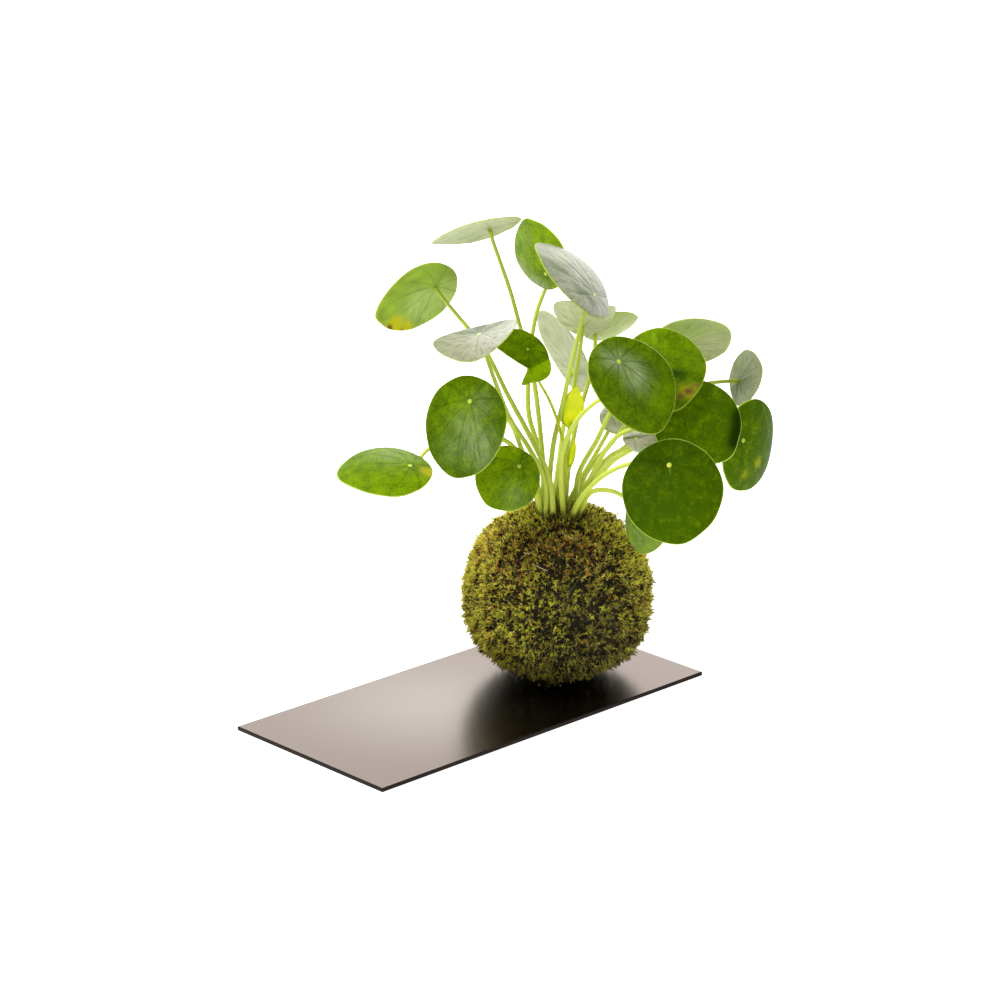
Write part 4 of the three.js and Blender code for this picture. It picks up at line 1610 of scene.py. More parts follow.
# In the marks, wax adds the pale wax and painted sheen, and below 0 takes them off; on leaf 9 a row of such
# marks paints darker creases. A tone below 0 paints shade: on leaf 16 the shadow of leaf 18 behind it. Leaf
# 14 takes a dark smudge and leaf 17 is darker all over through the same dark colour.
LEAVES = (
    Leaf((-47, 15, 313), (-129, -12, 27), 64, (3, 2), Ring.MIDDLE, 182,
         ((-11, 3, 160), (-18, 7, 216), (-27, 10, 249), (-33, 11, 271)), 0.38, bloom_and_sheen=0.8),
    Leaf((-84, 0, 277), (-158, 9, 60), 61, (7, 6), Ring.OUTER, 250,
         ((-6, -15, 145), (-18, -13, 172), (-35, -9, 204), (-50, -4, 233)), 0.30,
         (Mark(1.05, -0.70, 0.34, 1.0), Mark(1.18, -0.66, 0.13, 1.0, 0.9), Mark(0.86, -0.88, 0.1, 1.0, 0.8),
          Mark(0.75, -0.9, 0.25, 0.9),
          Mark(0.1, -0.45, 0.5, wax_and_sheen=0.9), Mark(0.5, -0.4, 0.4, wax_and_sheen=0.5), Mark(-0.42, -0.2, 0.4, wax_and_sheen=1.0)),
         bloom_and_sheen=0.05),
    Leaf((-54, -30, 252), (-94, 5, 15), 60, (1, -6), Ring.OUTER, 228,
         ((-9, -15, 143), (-19, -18, 166), (-33, -21, 190), (-42, -25, 214)), 0.12,
         (Mark(-0.31, -0.11, 0.3, wax_and_sheen=-0.5), Mark(-0.4, 0.4, 0.45, wax_and_sheen=-0.4)), bloom_and_sheen=0.70),
    Leaf((-21, -18, 238), (-119, 28, -42), 46, (-4, -2), Ring.INNER, 270,
         ((5, -12, 156), (1, -12, 179), (-6, -14, 200)), 0.24, thin=True, bloom_and_sheen=0.0, cleft=True),
    Leaf((-60, -61, 214), (-138, 69, -13), 67, (4, 3), Ring.OUTER, 187,
         ((-14, -16, 140), (-25, -25, 169), (-34, -32, 192)), 0.22,
         (Mark(0.0, -0.1, 0.4, tone=0.3), Mark(-0.08, 0.25, 0.24, wax_and_sheen=0.4), Mark(0.5, 0.15, 0.36, wax_and_sheen=0.4),
          Mark(0.85, 0.5, 0.36, wax_and_sheen=0.5), Mark(1.05, -0.2, 0.3, wax_and_sheen=0.15)), bloom_and_sheen=0.0),
    Leaf((-101, -25, 158), (-174, -6, -15), 63, (7, 7), Ring.OUTER, 165,
         ((-18, -3, 138), (-33, -4, 167), (-60, -1, 173), (-89, 6, 160)), 0.47,
         (Mark(-0.40, 0.12, 0.28, 0.8), Mark(0.4, -0.4, 0.5, wax_and_sheen=0.28), Mark(1.2, 0.4, 0.3, 0.35)),
         bloom_and_sheen=0.0),
    Leaf((-27, -45, 164), (-139, 34, -52), 46, (1, 6), Ring.OUTER, 207, ((-16, -27, 141),), 0.4,
         (Mark(0.75, 0.45, 0.35, wax_and_sheen=0.4),), bloom_and_sheen=0.03),
    Leaf((-9, 30, 278), (162, -56, -116), 50, (6, 6), Ring.MIDDLE, 146,
         ((-13, 11, 158), (-20, 15, 182), (-20, 26, 211), (-15, 45, 245)), 0.45,
         (Mark(-0.25, 0.55, 0.32, wax_and_sheen=0.9), Mark(0.4, 0.85, 0.35, wax_and_sheen=0.6), Mark(1.2, 0.2, 0.4, wax_and_sheen=0.25)),
         bloom_and_sheen=0.06),
    Leaf((24, -12, 274), (164, -50, -2), 66, (7, 4), Ring.MIDDLE, 218,
         ((-4, -7, 163), (3, -5, 197), (10, -10, 232)), 0.15,
         (Mark(1.2, 0.62, 0.3, wax_and_sheen=-0.38), Mark(0.85, 0.38, 0.24, wax_and_sheen=-0.36), Mark(0.17, 0.1, 0.3, wax_and_sheen=-0.2),
          Mark(0.46, 0.45, 0.12, wax_and_sheen=-0.25), Mark(0.22, 0.44, 0.13, wax_and_sheen=-0.45),
          Mark(0.0, 0.32, 0.15, wax_and_sheen=-0.45), Mark(0.4, -0.5, 0.5, wax_and_sheen=-0.14)), bloom_and_sheen=0.66),
    Leaf((17, 36, 240), (-83, -45, -8), 45, (2, -8), Ring.INNER, 126,
         ((7, 16, 163), (12, 27, 205), (15, 31, 222)), 0.95, bloom_and_sheen=1.0),
    Leaf((26, 56, 230), (7, 3, -44), 40, (-7, -5), Ring.MIDDLE, 80,
         ((13, 31, 170), (22, 43, 199), (26, 51, 218)), 1.0, bloom_and_sheen=0.76),
    Leaf((14, 71, 198), (149, -60, 54), 63, (4, 2), Ring.MIDDLE, 114, ((4, 44, 162),), 0.28, bloom_and_sheen=0.85),
    Leaf((39, -56, 240), (-44, 52, 6), 70, (0, -4), Ring.MIDDLE, 278,
         ((2, -30, 167), (10, -35, 190), (22, -42, 206), (35, -48, 217)), 0.28,
         (Mark(-0.12, -0.25, 0.2, wax_and_sheen=0.8), Mark(0.0, 0.04, 0.2, wax_and_sheen=1.0), Mark(0.28, 0.22, 0.24, wax_and_sheen=0.9),
          Mark(0.5, 0.15, 0.26, wax_and_sheen=0.6), Mark(0.96, 0.47, 0.35, tone=0.25),
          Mark(0.84, 0.0, 0.25, tone=-0.1)),
         bloom_and_sheen=0.0),
    Leaf((62, -12, 235), (-61, 39, 34), 63, (0, 12), Ring.MIDDLE, 12,
         ((14, -2, 144), (27, -5, 171), (38, -8, 196)), 0.45,
         (Mark(1.30, 0.12, 0.13, 0.9, 0.8), Mark(1.26, 0.34, 0.13, 0.9, 0.9), Mark(1.18, 0.54, 0.1, 0.9, 0.8),
          Mark(1.26, 0.3, 0.3, 0.75), Mark(0.72, 0.22, 0.12, tone=-0.6), Mark(0.8, 0.36, 0.12, tone=-0.5)),
         bloom_and_sheen=0.0),
    Leaf((81, 36, 225), (-16, -33, -51), 54, (6, 4), Ring.OUTER, 14,
         ((18, 9, 138), (38, 17, 162), (57, 24, 186)), 0.50,
         (Mark(0.7, 0.58, 0.5, wax_and_sheen=0.6), Mark(1.2, 0.4, 0.35, wax_and_sheen=0.2), Mark(0.54, -0.6, 0.5, wax_and_sheen=-0.34)),
         bloom_and_sheen=0.42),
    Leaf((83, -30, 203), (-42, 33, 41), 61, (6, 8), Ring.MIDDLE, 342,
         ((22, -11, 144), (40, -19, 177), (69, -22, 189)), 0.08,
         (Mark(0.95, 0.84, 0.18, tone=-0.5), Mark(1.12, 0.68, 0.18, tone=-0.5),
          Mark(1.28, 0.48, 0.18, tone=-0.5), Mark(1.38, 0.26, 0.15, tone=-0.4)), bloom_and_sheen=0.0),
    Leaf((126, 42, 198), (-57, -28, -107), 41, (1, 2), Ring.OUTER, 40,
         ((24, 14, 138), (47, 21, 157), (66, 30, 166), (92, 34, 195)), -0.30,
         (Mark(0.2, 0.55, 0.3, wax_and_sheen=0.3),), bloom_and_sheen=0.36),
    Leaf((127, 0, 168), (45, 29, 86), 67, (9, 7), Ring.OUTER, 352,
         ((21, -2, 134), (35, 0, 156), (56, 1, 164)), 0.03,
         (Mark(0.74, -0.27, 0.22, 0.6), Mark(0.45, -0.62, 0.26, 0.5)), bloom_and_sheen=0.0),
    Leaf((72, -81, 176), (-79, 57, 15), 70, (0, 10), Ring.OUTER, 302,
         ((17, -30, 139), (33, -47, 160), (54, -65, 173)), 0.04, bloom_and_sheen=0.0),
    Leaf((59, -51, 137), (-120, 70, 13), 41, (3, 4), Ring.OUTER, 328,
         ((23, -24, 139), (35, -25, 140), (48, -24, 134)), 0.32, bloom_and_sheen=0.3),
    Leaf((38, 36, 177), (-14, -5, 27), 37, (4, 4), Ring.OUTER, 68, ((28, 26, 153),), 0.35, bloom_and_sheen=0.9),
    Leaf((53, -20, 176), (14, -5, 13), 37, (4, 4), Ring.MIDDLE, 314, ((37, -16, 158),), 0.35, bloom_and_sheen=0.9),
)


@dataclass(frozen=True)
class Scale:
    """A dry scale on the crown: its bearing and distance from the middle, and its sizes.

    lean is how far its tip stands out, and drift how far it goes aside.
    """

    bearing: float
    reach: float
    height: float
    width: float
    lean: float = 3.0
    drift: float = 0.0


SCALES = (
    Scale(268, 9.5, 27, 1.5, 1.0, 0.6),
    Scale(250, 6.5, 23, 1.3, 1.5, -1.0),
    Scale(290, 9.0, 19, 1.4, 2.0, 1.5),
    Scale(218, 14.2, 22, 1.7, 3.5, -1.0),
    Scale(196, 14.0, 25, 1.6, 5.0, 0.5),
    Scale(236, 14.5, 14, 1.5, 3.0, 1.0),
    Scale(172, 14.3, 16, 1.6, 4.0),
    Scale(316, 14.0, 13, 1.4, 4.0, 1.0),
    Scale(338, 13.8, 15, 1.5, 4.5, -0.6),
    Scale(8, 14.2, 12, 1.5, 4.0),
    Scale(30, 13.5, 15, 1.6, 3.5),
    Scale(55, 14.0, 12, 1.5, 3.0),
    Scale(95, 13.0, 14, 1.7, 3.0),
    Scale(130, 13.5, 12, 1.5, 3.0),
)


@dataclass(frozen=True)
class Crown:
    """The short woody crown that the stalks grow from, with dry scales between their feet."""

    x: float = 2.0
    y: float = -1.0
    neck: float = 5.0
    radius: float = 15.0
    foot: float = 70.0
    flare: float = 103.0
    shoulder: float = 106.0
    top: float = 110.0
    sides: int = 64

    def spot(self, ring: Ring, bearing: float, lift: float = 0.0) -> Array:
        """A place on top of the crown."""
        return np.array([self.x, self.y, self.top + lift]) + heading(bearing) * ring.value

    def wood(self) -> Form:
        """The knobbly wood.

        Returns:
            A closed body.
        """
        corners = np.array([
            [self.neck / 2, self.foot],
            [self.neck, self.foot + 2],
            [self.neck, self.flare],
            [self.radius - 1, self.shoulder],
            [self.radius, self.top - 1.2],
            [self.radius - 1.5, self.top],
        ])
        side = resample(np.concatenate([corners, np.zeros((len(corners), 1))], -1), 48)
        bearing = np.linspace(0, 2 * math.pi, self.sides, endpoint=False)[None, :]
        radius, height = side[:, :1], side[:, 1:2]
        knobs = 0.35 * np.sin(7 * bearing + 0.9 * height) + 0.25 * np.sin(13 * bearing - 1.7 * height)
        out = radius + (knobs - 0.6) * smooth(0, 4, radius)
        x, y = self.x + out * np.cos(bearing), self.y + out * np.sin(bearing)
        rings = np.stack([x, y, np.broadcast_to(height, out.shape)], -1)
        ends = [np.array([self.x, self.y, self.foot]), np.array([self.x, self.y, self.top])]
        points, quads, fans = closed_skin(rings, *ends)
        return Form.of(points, quads, fans)

    def scale(self, scale: Scale) -> Form:
        """One dry scale: a thin pointed sheath that leans out between the stalks.

        Args:
            scale: its sizes.

        Returns:
            A closed body.
        """
        t = np.linspace(0, 1, 14)
        out = heading(scale.bearing)
        base = np.array([self.x, self.y, self.top - 0.5]) + out * scale.reach
        aside = np.array([-out[1], out[0], 0.0])
        drift = aside * scale.drift
        path = base + np.outer(t * scale.height, [0, 0, 1]) + np.outer(t**1.5, out * scale.lean + drift)
        wide = scale.width * (1 - t**2.2) ** 0.8 + 0.12
        rings = sweep(path, aside, wide, 0.22 + 0.2 * wide, 10)
        cup = out * 0.25
        rings = rings - cup * ((rings - path[:, None]) @ aside)[..., None] ** 2
        return Form.of(*closed_skin(rings, path[0], path[-1]))

    def build(self) -> None:
        """Makes the wood and the scales."""
        dress_piece("crown_wood", self.wood().mesh("crown_wood"), [BARK], ["plant_crown"])
        for number, scale in enumerate(SCALES, 1):
            name = f"crown_scale_{number:02d}"
            dress_piece(name, self.scale(scale).mesh(name), [DRY_SCALE])


CROWN = Crown()


@dataclass(frozen=True)
class Cleft:
    """The split in a cleft blade, on the unit disc.

    apex is where the split ends, sides the angles of the rim from one side of the split round to the other,
    pole a point that sees the whole outline, and crease the way across the crease that bends the smaller
    lobe up. Each swell of the rim has its size, its angle and its width, angles in degrees.
    """

    apex: Pair = (0.10, 0.33)
    sides: Pair = (16.0, 284.0)
    pole: Pair = (-0.27, 0.51)
    crease: Pair = (0.41, 0.912)
    bend: float = math.radians(28)
    # Painted light: the lobe past the crease is made brighter, for the light from behind that shines through
    # it.
    lobe_painted_light: float = 0.5
    swells: tuple[Point, ...] = ((0.32, 16.0, 15.0), (-0.1, 118.0, 38.0))

    def rim(self, steps: int = 400) -> Array:
        """The rim, from one side of the split round to the other.

        Args:
            steps: how many points it has.

        Returns:
            The points, flat on the unit disc, with 3 numbers each.
        """
        turn = np.linspace(math.radians(self.sides[0]), math.radians(self.sides[1]), steps)
        out = np.ones(steps)
        for size, angle, width in self.swells:
            out = out + size * np.exp(-(((np.degrees(turn) - angle) / width) ** 2))
        return np.stack([out * np.cos(turn), out * np.sin(turn), 0 * turn], -1)

    def past_crease(self, u: Array, v: Array) -> Array:
        """How far points of the disc are past the crease."""
        return (u - self.apex[0]) * self.crease[0] + (v - self.apex[1]) * self.crease[1]


CLEFT = Cleft()


@dataclass(frozen=True)
class Blades:
    """The leaf blades: thin, waxy and shield-shaped."""

    thickness: float = 0.8
    rim_thickness: float = 0.5
    breadth: float = 0.96
    narrowing: float = 0.06
    offset: float = 0.25
    point: float = 0.06
    wave: float = 0.6
    groove: float = 0.3
    dimple: float = 0.7
    sides: int = 96
    rings: int = 19
    edge: float = 0.988
    waxy_sheened_from: float = 0.35

    def outline(self, leaf: Leaf) -> tuple[Array, Array]:
        """A blade's outline on the unit disc.

        Args:
            leaf: the leaf, which may be cleft.

        Returns:
            The point that the blade's rings shrink to, and the points of the outline, evenly spaced.
        """
        angle = np.linspace(0, 2 * math.pi, self.sides, endpoint=False)
        if not leaf.cleft:
            return np.zeros(2), np.stack([np.cos(angle), np.sin(angle)], -1)
        apex = np.array([[*CLEFT.apex, 0.0]])
        line = resample(np.concatenate([apex, CLEFT.rim(), apex]), self.sides)[:-1]
        return np.array(CLEFT.pole), line[:, :2]

    def middle(self, leaf: Leaf, index: int, u: Array, v: Array) -> Array:
        """The blade's middle surface in its own frame.

        Args:
            leaf: the leaf.
            index: its number, from 0, which sets its waves.
            u: places on the unit disc towards the tip.
            v: places on the unit disc across.

        Returns:
            The points, with 3 numbers each.
        """
        half = leaf.length / 2
        reach, angle = np.hypot(u, v), np.arctan2(v, u)
        uneven = 1 + reach * (0.006 * np.sin(5 * angle + index) + 0.004 * np.sin(9 * angle + 2.1 * index))
        beak = 1 + self.point * reach * np.maximum(0, np.cos(angle)) ** 12
        x = half * (2 * self.offset + u * beak * uneven)
        y = half * self.breadth * v * uneven * (1 - self.narrowing * u)
        along, across = leaf.bow
        fall = (along * (x - half * self.offset) ** 2 + across * y**2) / half**2 - along * self.offset**2
        wave = self.wave * reach**3 * np.sin(3 * angle + 2.4 * index)
        off, away = VEINS.offset(x / half, y / half)
        groove = self.groove * np.exp(-((off / 0.05) ** 2)) * smooth(1.3, 0.5, away) * smooth(0.0, 0.15, away)
        dimple = self.dimple * np.exp(-((away / 0.1) ** 2))
        pillow = 0.25 * np.sin(11 * angle + index) * np.sin(7 * reach + index) * reach
        z = wave - fall - groove - dimple + pillow * smooth(1.0, 0.7, reach)
        if leaf.cleft:
            beyond = half * np.maximum(0, CLEFT.past_crease(u, v))
            z = z + beyond * math.tan(CLEFT.bend) * smooth(0, 3, beyond)
        return np.stack([x, y, z], -1)

    def form(self, leaf: Leaf, index: int) -> Form:
        """The whole blade.

        Args:
            leaf: the leaf.
            index: its number, from 0.

        Returns:
            A closed body that carries the places that its veins are drawn from.
        """
        steps = np.append(np.linspace(0.06, self.edge, self.rings - 1), 1.0)
        half_thick = np.append(np.full(self.rings - 1, self.thickness / 2), self.rim_thickness / 2)
        reach = np.concatenate([steps, steps[::-1]])
        lift = np.concatenate([-half_thick, half_thick[::-1]])
        pole, line = self.outline(leaf)
        spread = pole + reach[:, None, None] * (line - pole)[None]
        u, v = spread[..., 0], spread[..., 1]
        rings = self.middle(leaf, index, u, v)
        rings[..., 2] += lift[:, None]
        centre = self.middle(leaf, index, pole[:1], pole[1:])[0]
        up = np.array([0, 0, self.thickness / 2])
        points, quads, fans = closed_skin(rings, centre - up, centre + up)
        rows = np.repeat(np.arange(2 * self.rings - 1), self.sides)
        side = np.where(rows < self.rings - 2, Face.LOWER.value, Face.UPPER.value)
        side[(rows >= self.rings - 2) & (rows <= self.rings)] = Face.RIM.value
        fan_side = np.repeat([Face.LOWER.value, Face.UPPER.value], self.sides)
        half = leaf.length / 2
        place = points / half
        state = np.tile([0.0, 0.0, leaf.bloom_and_sheen], (len(points), 1))
        tone = np.full(len(points), leaf.tone)
        for mark in leaf.marks:
            near = np.exp(-(((place[:, 0] - mark.x) ** 2 + (place[:, 1] - mark.y) ** 2) / mark.radius**2))
            state[:, :2] = np.maximum(state[:, :2], near[:, None] * [mark.yellow, mark.brown])
            state[:, 2] = np.clip(state[:, 2] + near * mark.wax_and_sheen, 0, 1)
            tone = tone + near * mark.tone
        # Painted light: the bent lobe of a cleft blade is made brighter.
        if leaf.cleft:
            flat = np.concatenate([spread.reshape(-1, 2), [pole, pole]])
            tone = tone + CLEFT.lobe_painted_light * smooth(0, 0.06, CLEFT.past_crease(flat[:, 0], flat[:, 1]))
        values = {"blade": place, "tone": tone, "state": state}
        turned = points @ leaf.frame().T + np.array(leaf.at)
        return Form(turned, [quads, fans], [side, fan_side], values)

    def build(self) -> None:
        """Makes every blade."""
        for index, leaf in enumerate(LEAVES):
            name = f"blade_{index + 1:02d}"
            # Leaves with much bloom take the finishes whose pale wax colour is partly painted sheen.
            waxy_sheened = leaf.bloom_and_sheen > self.waxy_sheened_from
            faces = [WAXY_SHEENED_UPPER, WAXY_SHEENED_LOWER] if waxy_sheened else [LEAF_UPPER, LEAF_LOWER]
            mesh = self.form(leaf, index).mesh(name)
            dress_piece(name, mesh, [*faces, LEAF_RIM_LIGHT], [f"leaf_{name}"])


@dataclass(frozen=True)
class Stalks:
    """The leaf stalks: smooth, thickest at the foot, meeting each blade under its middle."""

    foot: float = 2.0
    tip: float = 1.3
    knee: float = 7.0
    lean: float = 0.35
    wrist: float = 7.0
    hook: float = 1.2
    seat: float = 0.45
    gap: float = 0.3
    sides: int = 14
    steps: int = 56
    thickness: float = 0.8
    thin_share: float = 0.78
    thin_loss: float = 0.1

    def path(self, leaf: Leaf) -> Array:
        """The stalk's middle line from its foot on the crown to the blade's underside.

        Args:
            leaf: the leaf.

        Returns:
            Points spaced evenly along it.
        """
        foot = CROWN.spot(leaf.ring, leaf.bearing, self.gap + self.foot * self.lean)
        knee = foot + heading(leaf.bearing) * self.lean * self.knee + [0, 0, self.knee]
        at, down = np.array(leaf.at, float), -leaf.frame()[:, 2]
        back = unit(unit(np.array(leaf.via[-1]) - at) + down * self.hook)
        slant = math.sqrt(max(0.0, 1 - float(back @ down) ** 2))
        end = at + down * (self.thickness / 2 + self.seat + self.tip * slant)
        wrist = end + back * self.wrist
        way = np.array([foot, knee, *leaf.via, wrist, end, at + down * 0.2], float)
        return resample(curve_through(way), self.steps)

    def form(self, leaf: Leaf, index: int) -> Form:
        """The stalk as a tube that runs into the blade.

        Args:
            leaf: the leaf.
            index: its number, from 0.

        Returns:
            A closed body that carries each point's place along and round the stalk.
        """
        path = self.path(leaf)
        t = np.linspace(0, 1, self.steps + 1)
        radius = self.foot + (self.tip - self.foot) * t
        radius = radius * (1 + 0.03 * np.sin(17 * t + index)) + 0.35 * np.exp(-(1 - t) * 45)
        if leaf.thin:
            radius = radius * (self.thin_share - self.thin_loss * smooth(0, 0.4, t))
        to_blade = np.array(leaf.at) - path[0]
        across = unit(np.array([-to_blade[1], to_blade[0], 0.0]))
        rings = sweep(path, across, radius, radius, self.sides)
        up = leaf.frame()[:, 2]
        over = np.maximum(0, (rings - np.array(leaf.at)) @ up + 0.1) * (t > 0.9)[:, None]
        rings = rings - over[..., None] * up
        points, quads, fans = closed_skin(rings, path[0], rings[-1].mean(0))
        around = np.tile(np.linspace(0, 1, self.sides, endpoint=False), self.steps + 1)
        own = 0.37 * index
        place = np.stack([np.repeat(t, self.sides), around, np.full_like(around, own)], -1)
        place = np.concatenate([place, [[0, 0, own], [1, 0, own]]])
        return Form.of(points, quads, fans, stalk=place)

    def build(self) -> None:
        """Makes every stalk."""
        for index, leaf in enumerate(LEAVES):
            name = f"stalk_{index + 1:02d}"
            mesh = self.form(leaf, index).mesh(name)
            dress_piece(name, mesh, [OLIVE if leaf.thin else LIME], [f"leaf_{name}"])

    def near_moss(self, top: float = 130.0) -> Array:
        """Points on the stalks' lines up to a height, for the moss to leave free."""
        lines = np.concatenate([self.path(leaf) for leaf in LEAVES])
        return lines[lines[:, 2] < top]


@dataclass(frozen=True)
class YoungLeaf:
    """A young leaf, still rolled up on its own stalk.

    foot is its bearing on the crown's inner ring, tip its end, width and depth its half sizes, begin how far
    up the stalk the leaf begins, curl how far round its margins roll, and skew how much further one does.
    """

    foot: float
    tip: Point
    width: float
    depth: float
    begin: float
    curl: float
    skew: float
    stem: float = 1.3
    roundness: float = 0.8
    gap: float = 0.3
    rows: int = 60
    columns: int = 25
    thickness: float = 0.55
    stem_sides: int = 12

    def path(self) -> Array:
        """The line from the foot to the tip.

        Returns:
            Points spaced evenly along it.
        """
        start = CROWN.spot(Ring.INNER, self.foot, self.gap)
        end = np.array(self.tip, float)
        middle = np.array([start[0], start[1], (start[2] + end[2]) / 2])
        t = np.linspace(0, 1, 200)[:, None]
        return resample((1 - t) ** 2 * start + 2 * t * (1 - t) * middle + t**2 * end, 96)

    def stalk(self) -> Form:
        """The stalk, up to a little way into the leaf.

        Returns:
            A closed body.
        """
        path = self.path()
        path = path[: int(len(path) * (self.begin + 0.06))]
        t = np.linspace(0, 1, len(path))
        radius = self.stem * (1 - 0.35 * t**4)
        rings = sweep(path, np.array([1.0, 0.0, 0.0]), radius, radius, self.stem_sides)
        points, quads, fans = closed_skin(rings, path[0], path[-1])
        along = t.repeat(self.stem_sides)
        around = np.tile(np.linspace(0, 1, self.stem_sides, endpoint=False), len(path))
        place = np.concatenate([np.stack([along, around, 0 * along], -1), [[0, 0, 0], [1, 0, 0]]])
        return Form.of(points, quads, fans, stalk=place)

    def leaf(self) -> Form:
        """The rolled leaf: a sheet whose margins curl in towards the plant's front.

        Returns:
            A closed thin body.
        """
        path = self.path()
        t = np.linspace(self.begin, 1, self.rows)
        line = np.stack([np.interp(t, np.linspace(0, 1, len(path)), path[:, k]) for k in range(3)], -1)
        up = (t - self.begin) / (1 - self.begin)
        swell = np.sin(math.pi * np.clip(up, 0.02, 0.99) ** self.roundness) ** self.roundness
        wide, deep = self.width * swell, self.depth * swell
        side = np.linspace(-1, 1, self.columns)[None, :]
        curl = self.curl * (0.55 + 0.45 * swell)[:, None]
        angle = side * curl + self.skew * side**2
        roll = 1 - 0.18 * np.abs(side)
        scale = 1 / np.sin(np.minimum(self.curl, math.pi / 2))
        x = wide[:, None] * np.sin(angle) * scale * roll
        y = deep[:, None] * (1 - 2 * (1 - np.cos(angle)) / (1 - math.cos(self.curl)) * roll)
        rise = 1.6 * side**2 * swell[:, None]
        sheet = line[:, None] + np.stack([x, y, np.broadcast_to(rise, x.shape)], -1)
        return self.thicken(sheet, up)

    def thicken(self, sheet: Array, up: Array) -> Form:
        """A closed thin body round a sheet.

        Args:
            sheet: the middle of the sheet, as rows by columns by 3.
            up: how far up the leaf each row is.

        Returns:
            The body, its front wearing the first finish and its back and edges the second.
        """
        rows, columns = sheet.shape[:2]
        normal = unit(np.cross(np.gradient(sheet, axis=1), np.gradient(sheet, axis=0)))
        taper = 0.35 + 0.65 * (1 - np.abs(np.linspace(-1, 1, columns)) ** 4)
        half = self.thickness / 2 * taper[None, :, None]
        front, back = sheet + normal * half, sheet - normal * half
        rings = np.concatenate([front, back[:, ::-1]], 1)
        points, quads, fans = closed_skin(rings, sheet[0].mean(0), sheet[-1].mean(0))
        column = np.tile(np.arange(2 * columns), rows - 1)
        side = np.where(column < columns - 1, 0, 1)
        around = np.tile(np.linspace(0, 2, 2 * columns), rows)
        place = np.stack([np.repeat(up, 2 * columns), around, np.zeros_like(around)], -1)
        place = np.concatenate([place, [[0, 0, 0], [1, 0, 0]]])
        return Form(points, [quads, fans], [side, np.ones(len(fans), int)], {"stalk": place})


@dataclass(frozen=True)
class YoungLeaves:
    """The two young leaves among the stalks."""

    leaves: tuple[YoungLeaf, ...] = (
        YoungLeaf(54, (13, 4, 206), 11.0, 2.6, 0.68, 1.7, -0.75),
        YoungLeaf(342, (11, -16, 174), 3.0, 1.8, 0.6, 2.4, -0.4),
    )

    def build(self) -> None:
        """Makes both, each with its stalk."""
        for number, young in enumerate(self.leaves, 1):
            name = f"bud_{number:02d}"
            finishes, nodes = [BUD_INSIDE, BUD_OUTSIDE], [f"young_leaf_{number:02d}"]
            dress_piece(name, young.leaf().mesh(name), finishes, nodes)
            stalk = f"{name}_stalk"
            dress_piece(stalk, young.stalk().mesh(stalk), [LIME])


# The bearing and height of both ends of each loose end of thread on the moss
LOOSE_ENDS = (
    ((251.0, 97.0), (263.0, 93.0)),
    ((242.0, 102.0), (249.0, 102.0)),
    ((273.0, 113.5), (286.0, 109.5)),
)


@dataclass(frozen=True)
class BindingThread:
    """The thread that binds the moss, nearly lost between the shoots."""

    ball: MossBall
    radius: float = 0.22
    loose: float = 0.2
    loose_steps: int = 24
    stand: float = -2.5
    loops: int = 3
    tilt: float = math.radians(56)
    turn: float = 20.0
    sides: int = 6
    steps: int = 260

    def loop(self, number: int) -> Form:
        """One loop round the ball.

        Args:
            number: which one, from 0.

        Returns:
            A closed ring of thread.
        """
        lean = turn_about(2, math.radians(360 / self.loops * number + self.turn)) @ turn_about(0, self.tilt)
        turn = np.linspace(0, 2 * math.pi, self.steps, endpoint=False)
        way = np.stack([np.cos(turn), np.sin(turn), 0 * turn], -1) @ lean.T
        ball = self.ball
        spot = way * ball.reach(way)[:, None] + [0, 0, ball.lower]
        stand = ball.tussock(np.arctan2(spot[:, 1], spot[:, 0]), spot[:, 2]) + self.stand
        stand += 0.9 * np.sin(13 * turn + 2 * number) * np.sin(5 * turn)
        path = spot + way * stand[:, None]
        path[:, 2] = np.maximum(path[:, 2], 0.6)
        around = np.linspace(0, 2 * math.pi, self.sides, endpoint=False)
        binormal = lean[:, 2]
        offset = np.cos(around)[None, :, None] * way[:, None] + np.sin(around)[None, :, None] * binormal
        rings = path[:, None] - offset * self.radius
        along, round_it = (np.repeat(turn, self.sides), np.tile(around, self.steps))
        place = np.stack([along, round_it, 0 * along], -1) / (2 * math.pi)
        return Form.of(rings.reshape(-1, 3), ring_faces(self.steps, self.sides, loop=True), stalk=place)

    def strand(self, start: Pair, end: Pair) -> Form:
        """A short loose end that lies on the moss.

        Args:
            start: the bearing and height that it starts at.
            end: those that it ends at.

        Returns:
            A closed body that tapers at both ends.
        """
        t = np.linspace(0, 1, self.loose_steps)
        bearing = np.radians(start[0] + (end[0] - start[0]) * t)
        height = start[1] + (end[1] - start[1]) * t
        ball = self.ball
        half = np.where(height > ball.lower, ball.upper, ball.lower)
        out = ball.radius * ball.other_share((height - ball.lower) / half) + 2.0 + 0.6 * np.sin(math.pi * t)
        path = np.stack([out * np.cos(bearing), out * np.sin(bearing), height + 0.4], -1)
        radius = self.loose * (1 - 0.5 * np.abs(2 * t - 1) ** 3)
        rings = sweep(path, np.array([0.0, 0.0, 1.0]), radius, radius, self.sides)
        points, quads, fans = closed_skin(rings, path[0], path[-1])
        along = np.repeat(t * 0.05, self.sides)
        around = np.tile(np.linspace(0, 1, self.sides), self.loose_steps)
        place = np.concatenate([np.stack([along, around, 0 * along], -1), np.zeros((2, 3))])
        return Form.of(points, quads, fans, stalk=place)

    def build(self) -> None:
        """Makes the loops, the first of which stands for the whole thread, and the loose ends."""
        for number in range(self.loops):
            name = f"thread_loop_{number + 1}"
            nodes = ["binding_thread"] if number == 0 else []
            dress_piece(name, self.loop(number).mesh(name), [STRAND_IN_PAINTED_SHADE], nodes)
        for number, (start, end) in enumerate(LOOSE_ENDS, 1):
            name = f"thread_end_{number}"
            dress_piece(name, self.strand(start, end).mesh(name), [LOOSE_STRAND])


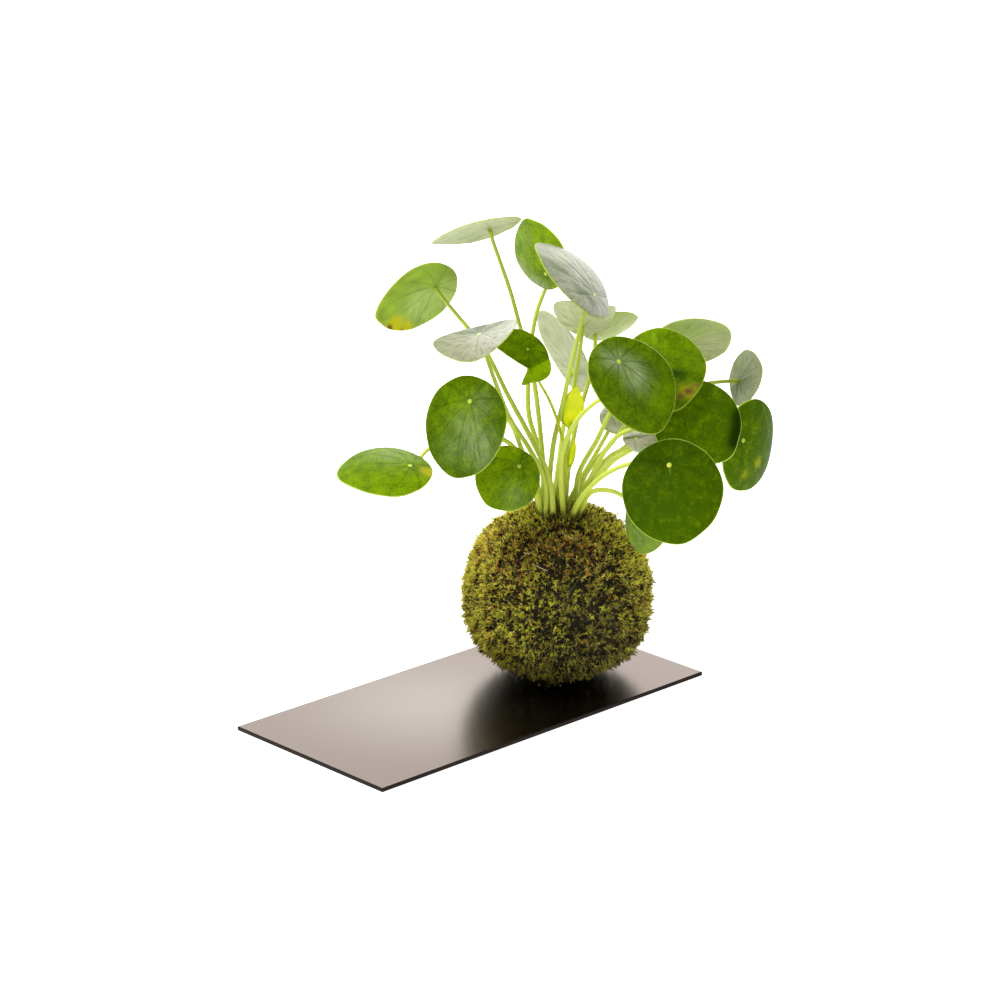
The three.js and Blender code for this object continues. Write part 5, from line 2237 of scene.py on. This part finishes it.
@dataclass(frozen=True)
class Soil:
    """The soil and roots in the moss, which keep their own solid."""

    node: str = "soil_core"

    def build(self) -> None:
        """Gives the soil its crumbs."""
        dress_solid(self.node, SOIL)


@dataclass(frozen=True)
class Softbox:
    """A soft light: where it stands, what it looks at, its size and its brightness."""

    name: str
    place: Point
    aim: Point
    width: float
    height: float
    glow: float

    def build(self) -> None:
        """Makes the light, in metres and watts."""
        light = bpy.data.lights.new(self.name, "AREA")
        light.shape = "RECTANGLE"
        light.size, light.size_y = self.width, self.height
        light.energy = self.glow * math.pi * self.width * self.height
        holder = bpy.data.objects.new(self.name, light)
        bpy.context.scene.collection.objects.link(holder)
        holder.location = self.place
        holder.rotation_mode = "QUATERNION"
        holder.rotation_quaternion = (Vector(self.aim) - Vector(self.place)).to_track_quat("-Z", "Y")
        holder.visible_camera = False


@dataclass(frozen=True)
class Studio:
    """The camera, the pale floor and the soft lights, all in metres."""

    lights: tuple[Softbox, ...] = (
        Softbox("back softbox", (1.46, 1.44, 1.05), (0.08, 0.0, 0.30), width=5.0, height=1.9, glow=3.4),
        Softbox("top softbox", (-0.55, 0.25, 1.50), (0.06, 0.0, 0.10), width=0.75, height=0.75, glow=20.0),
    )
    camera_place: Point = (-1.430, -1.523, 0.830)
    camera_azimuth: float = -43.67
    camera_elevation: float = 18.13
    lens: float = 117.8
    sensor: float = 36.0
    floor_size: float = 14.0
    floor_drop: float = 0.0002
    floor_shade: float = 0.7
    floor_glow: float = 0.95
    sky: float = 0.35

    def camera(self) -> None:
        """The camera at the photographed angle."""
        data = bpy.data.cameras.new("camera")
        data.lens = self.lens
        data.sensor_width = self.sensor
        data.clip_end = 50.0
        holder = bpy.data.objects.new("camera", data)
        bpy.context.scene.collection.objects.link(holder)
        azimuth, elevation = math.radians(self.camera_azimuth), math.radians(self.camera_elevation)
        level = math.cos(elevation)
        back = Vector((math.sin(azimuth) * level, -math.cos(azimuth) * level, math.sin(elevation)))
        holder.location = self.camera_place
        holder.rotation_mode = "QUATERNION"
        holder.rotation_quaternion = (-back).to_track_quat("-Z", "Y")
        bpy.context.scene.camera = holder

    def floor(self) -> None:
        """A pale floor that gives back much light, as a light table does."""
        half, low = self.floor_size / 2, -self.floor_drop
        mesh = bpy.data.meshes.new("floor")
        corners = [(-half, -half, low), (half, -half, low), (half, half, low), (-half, half, low)]
        mesh.from_pydata(corners, [], [(0, 1, 2, 3)])
        material = bpy.data.materials.new("floor")
        material.use_nodes = True
        body = material.node_tree.nodes["Principled BSDF"]
        body.inputs["Base Color"].default_value = (*[self.floor_shade] * 3, 1)
        body.inputs["Roughness"].default_value = 0.9
        body.inputs["Emission Color"].default_value = (1, 1, 1, 1)
        body.inputs["Emission Strength"].default_value = self.floor_glow
        mesh.materials.append(material)
        holder = bpy.data.objects.new("floor", mesh)
        bpy.context.scene.collection.objects.link(holder)

    def world(self) -> None:
        """An even white surround."""
        world = bpy.data.worlds.new("surround")
        world.use_nodes = True
        world.node_tree.nodes["Background"].inputs["Color"].default_value = (1, 1, 1, 1)
        world.node_tree.nodes["Background"].inputs["Strength"].default_value = self.sky
        bpy.context.scene.world = world

    def build(self) -> None:
        """Sets up the camera, floor, surround and lights."""
        self.camera()
        self.floor()
        self.world()
        for light in self.lights:
            light.build()
        bpy.context.scene.view_settings.view_transform = "Standard"


def main() -> None:
    """Builds the studio and every piece of the part in order."""
    logging.basicConfig(level=logging.INFO, format="%(name)s: %(message)s")
    Studio().build()
    Plate().build()
    Soil().build()
    CROWN.build()
    stalks = Stalks()
    ball = MossBall()
    ball.build(stalks.near_moss())
    BindingThread(ball).build()
    stalks.build()
    Blades().build()
    YoungLeaves().build()
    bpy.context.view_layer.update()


if __name__ == "__main__":
    main()
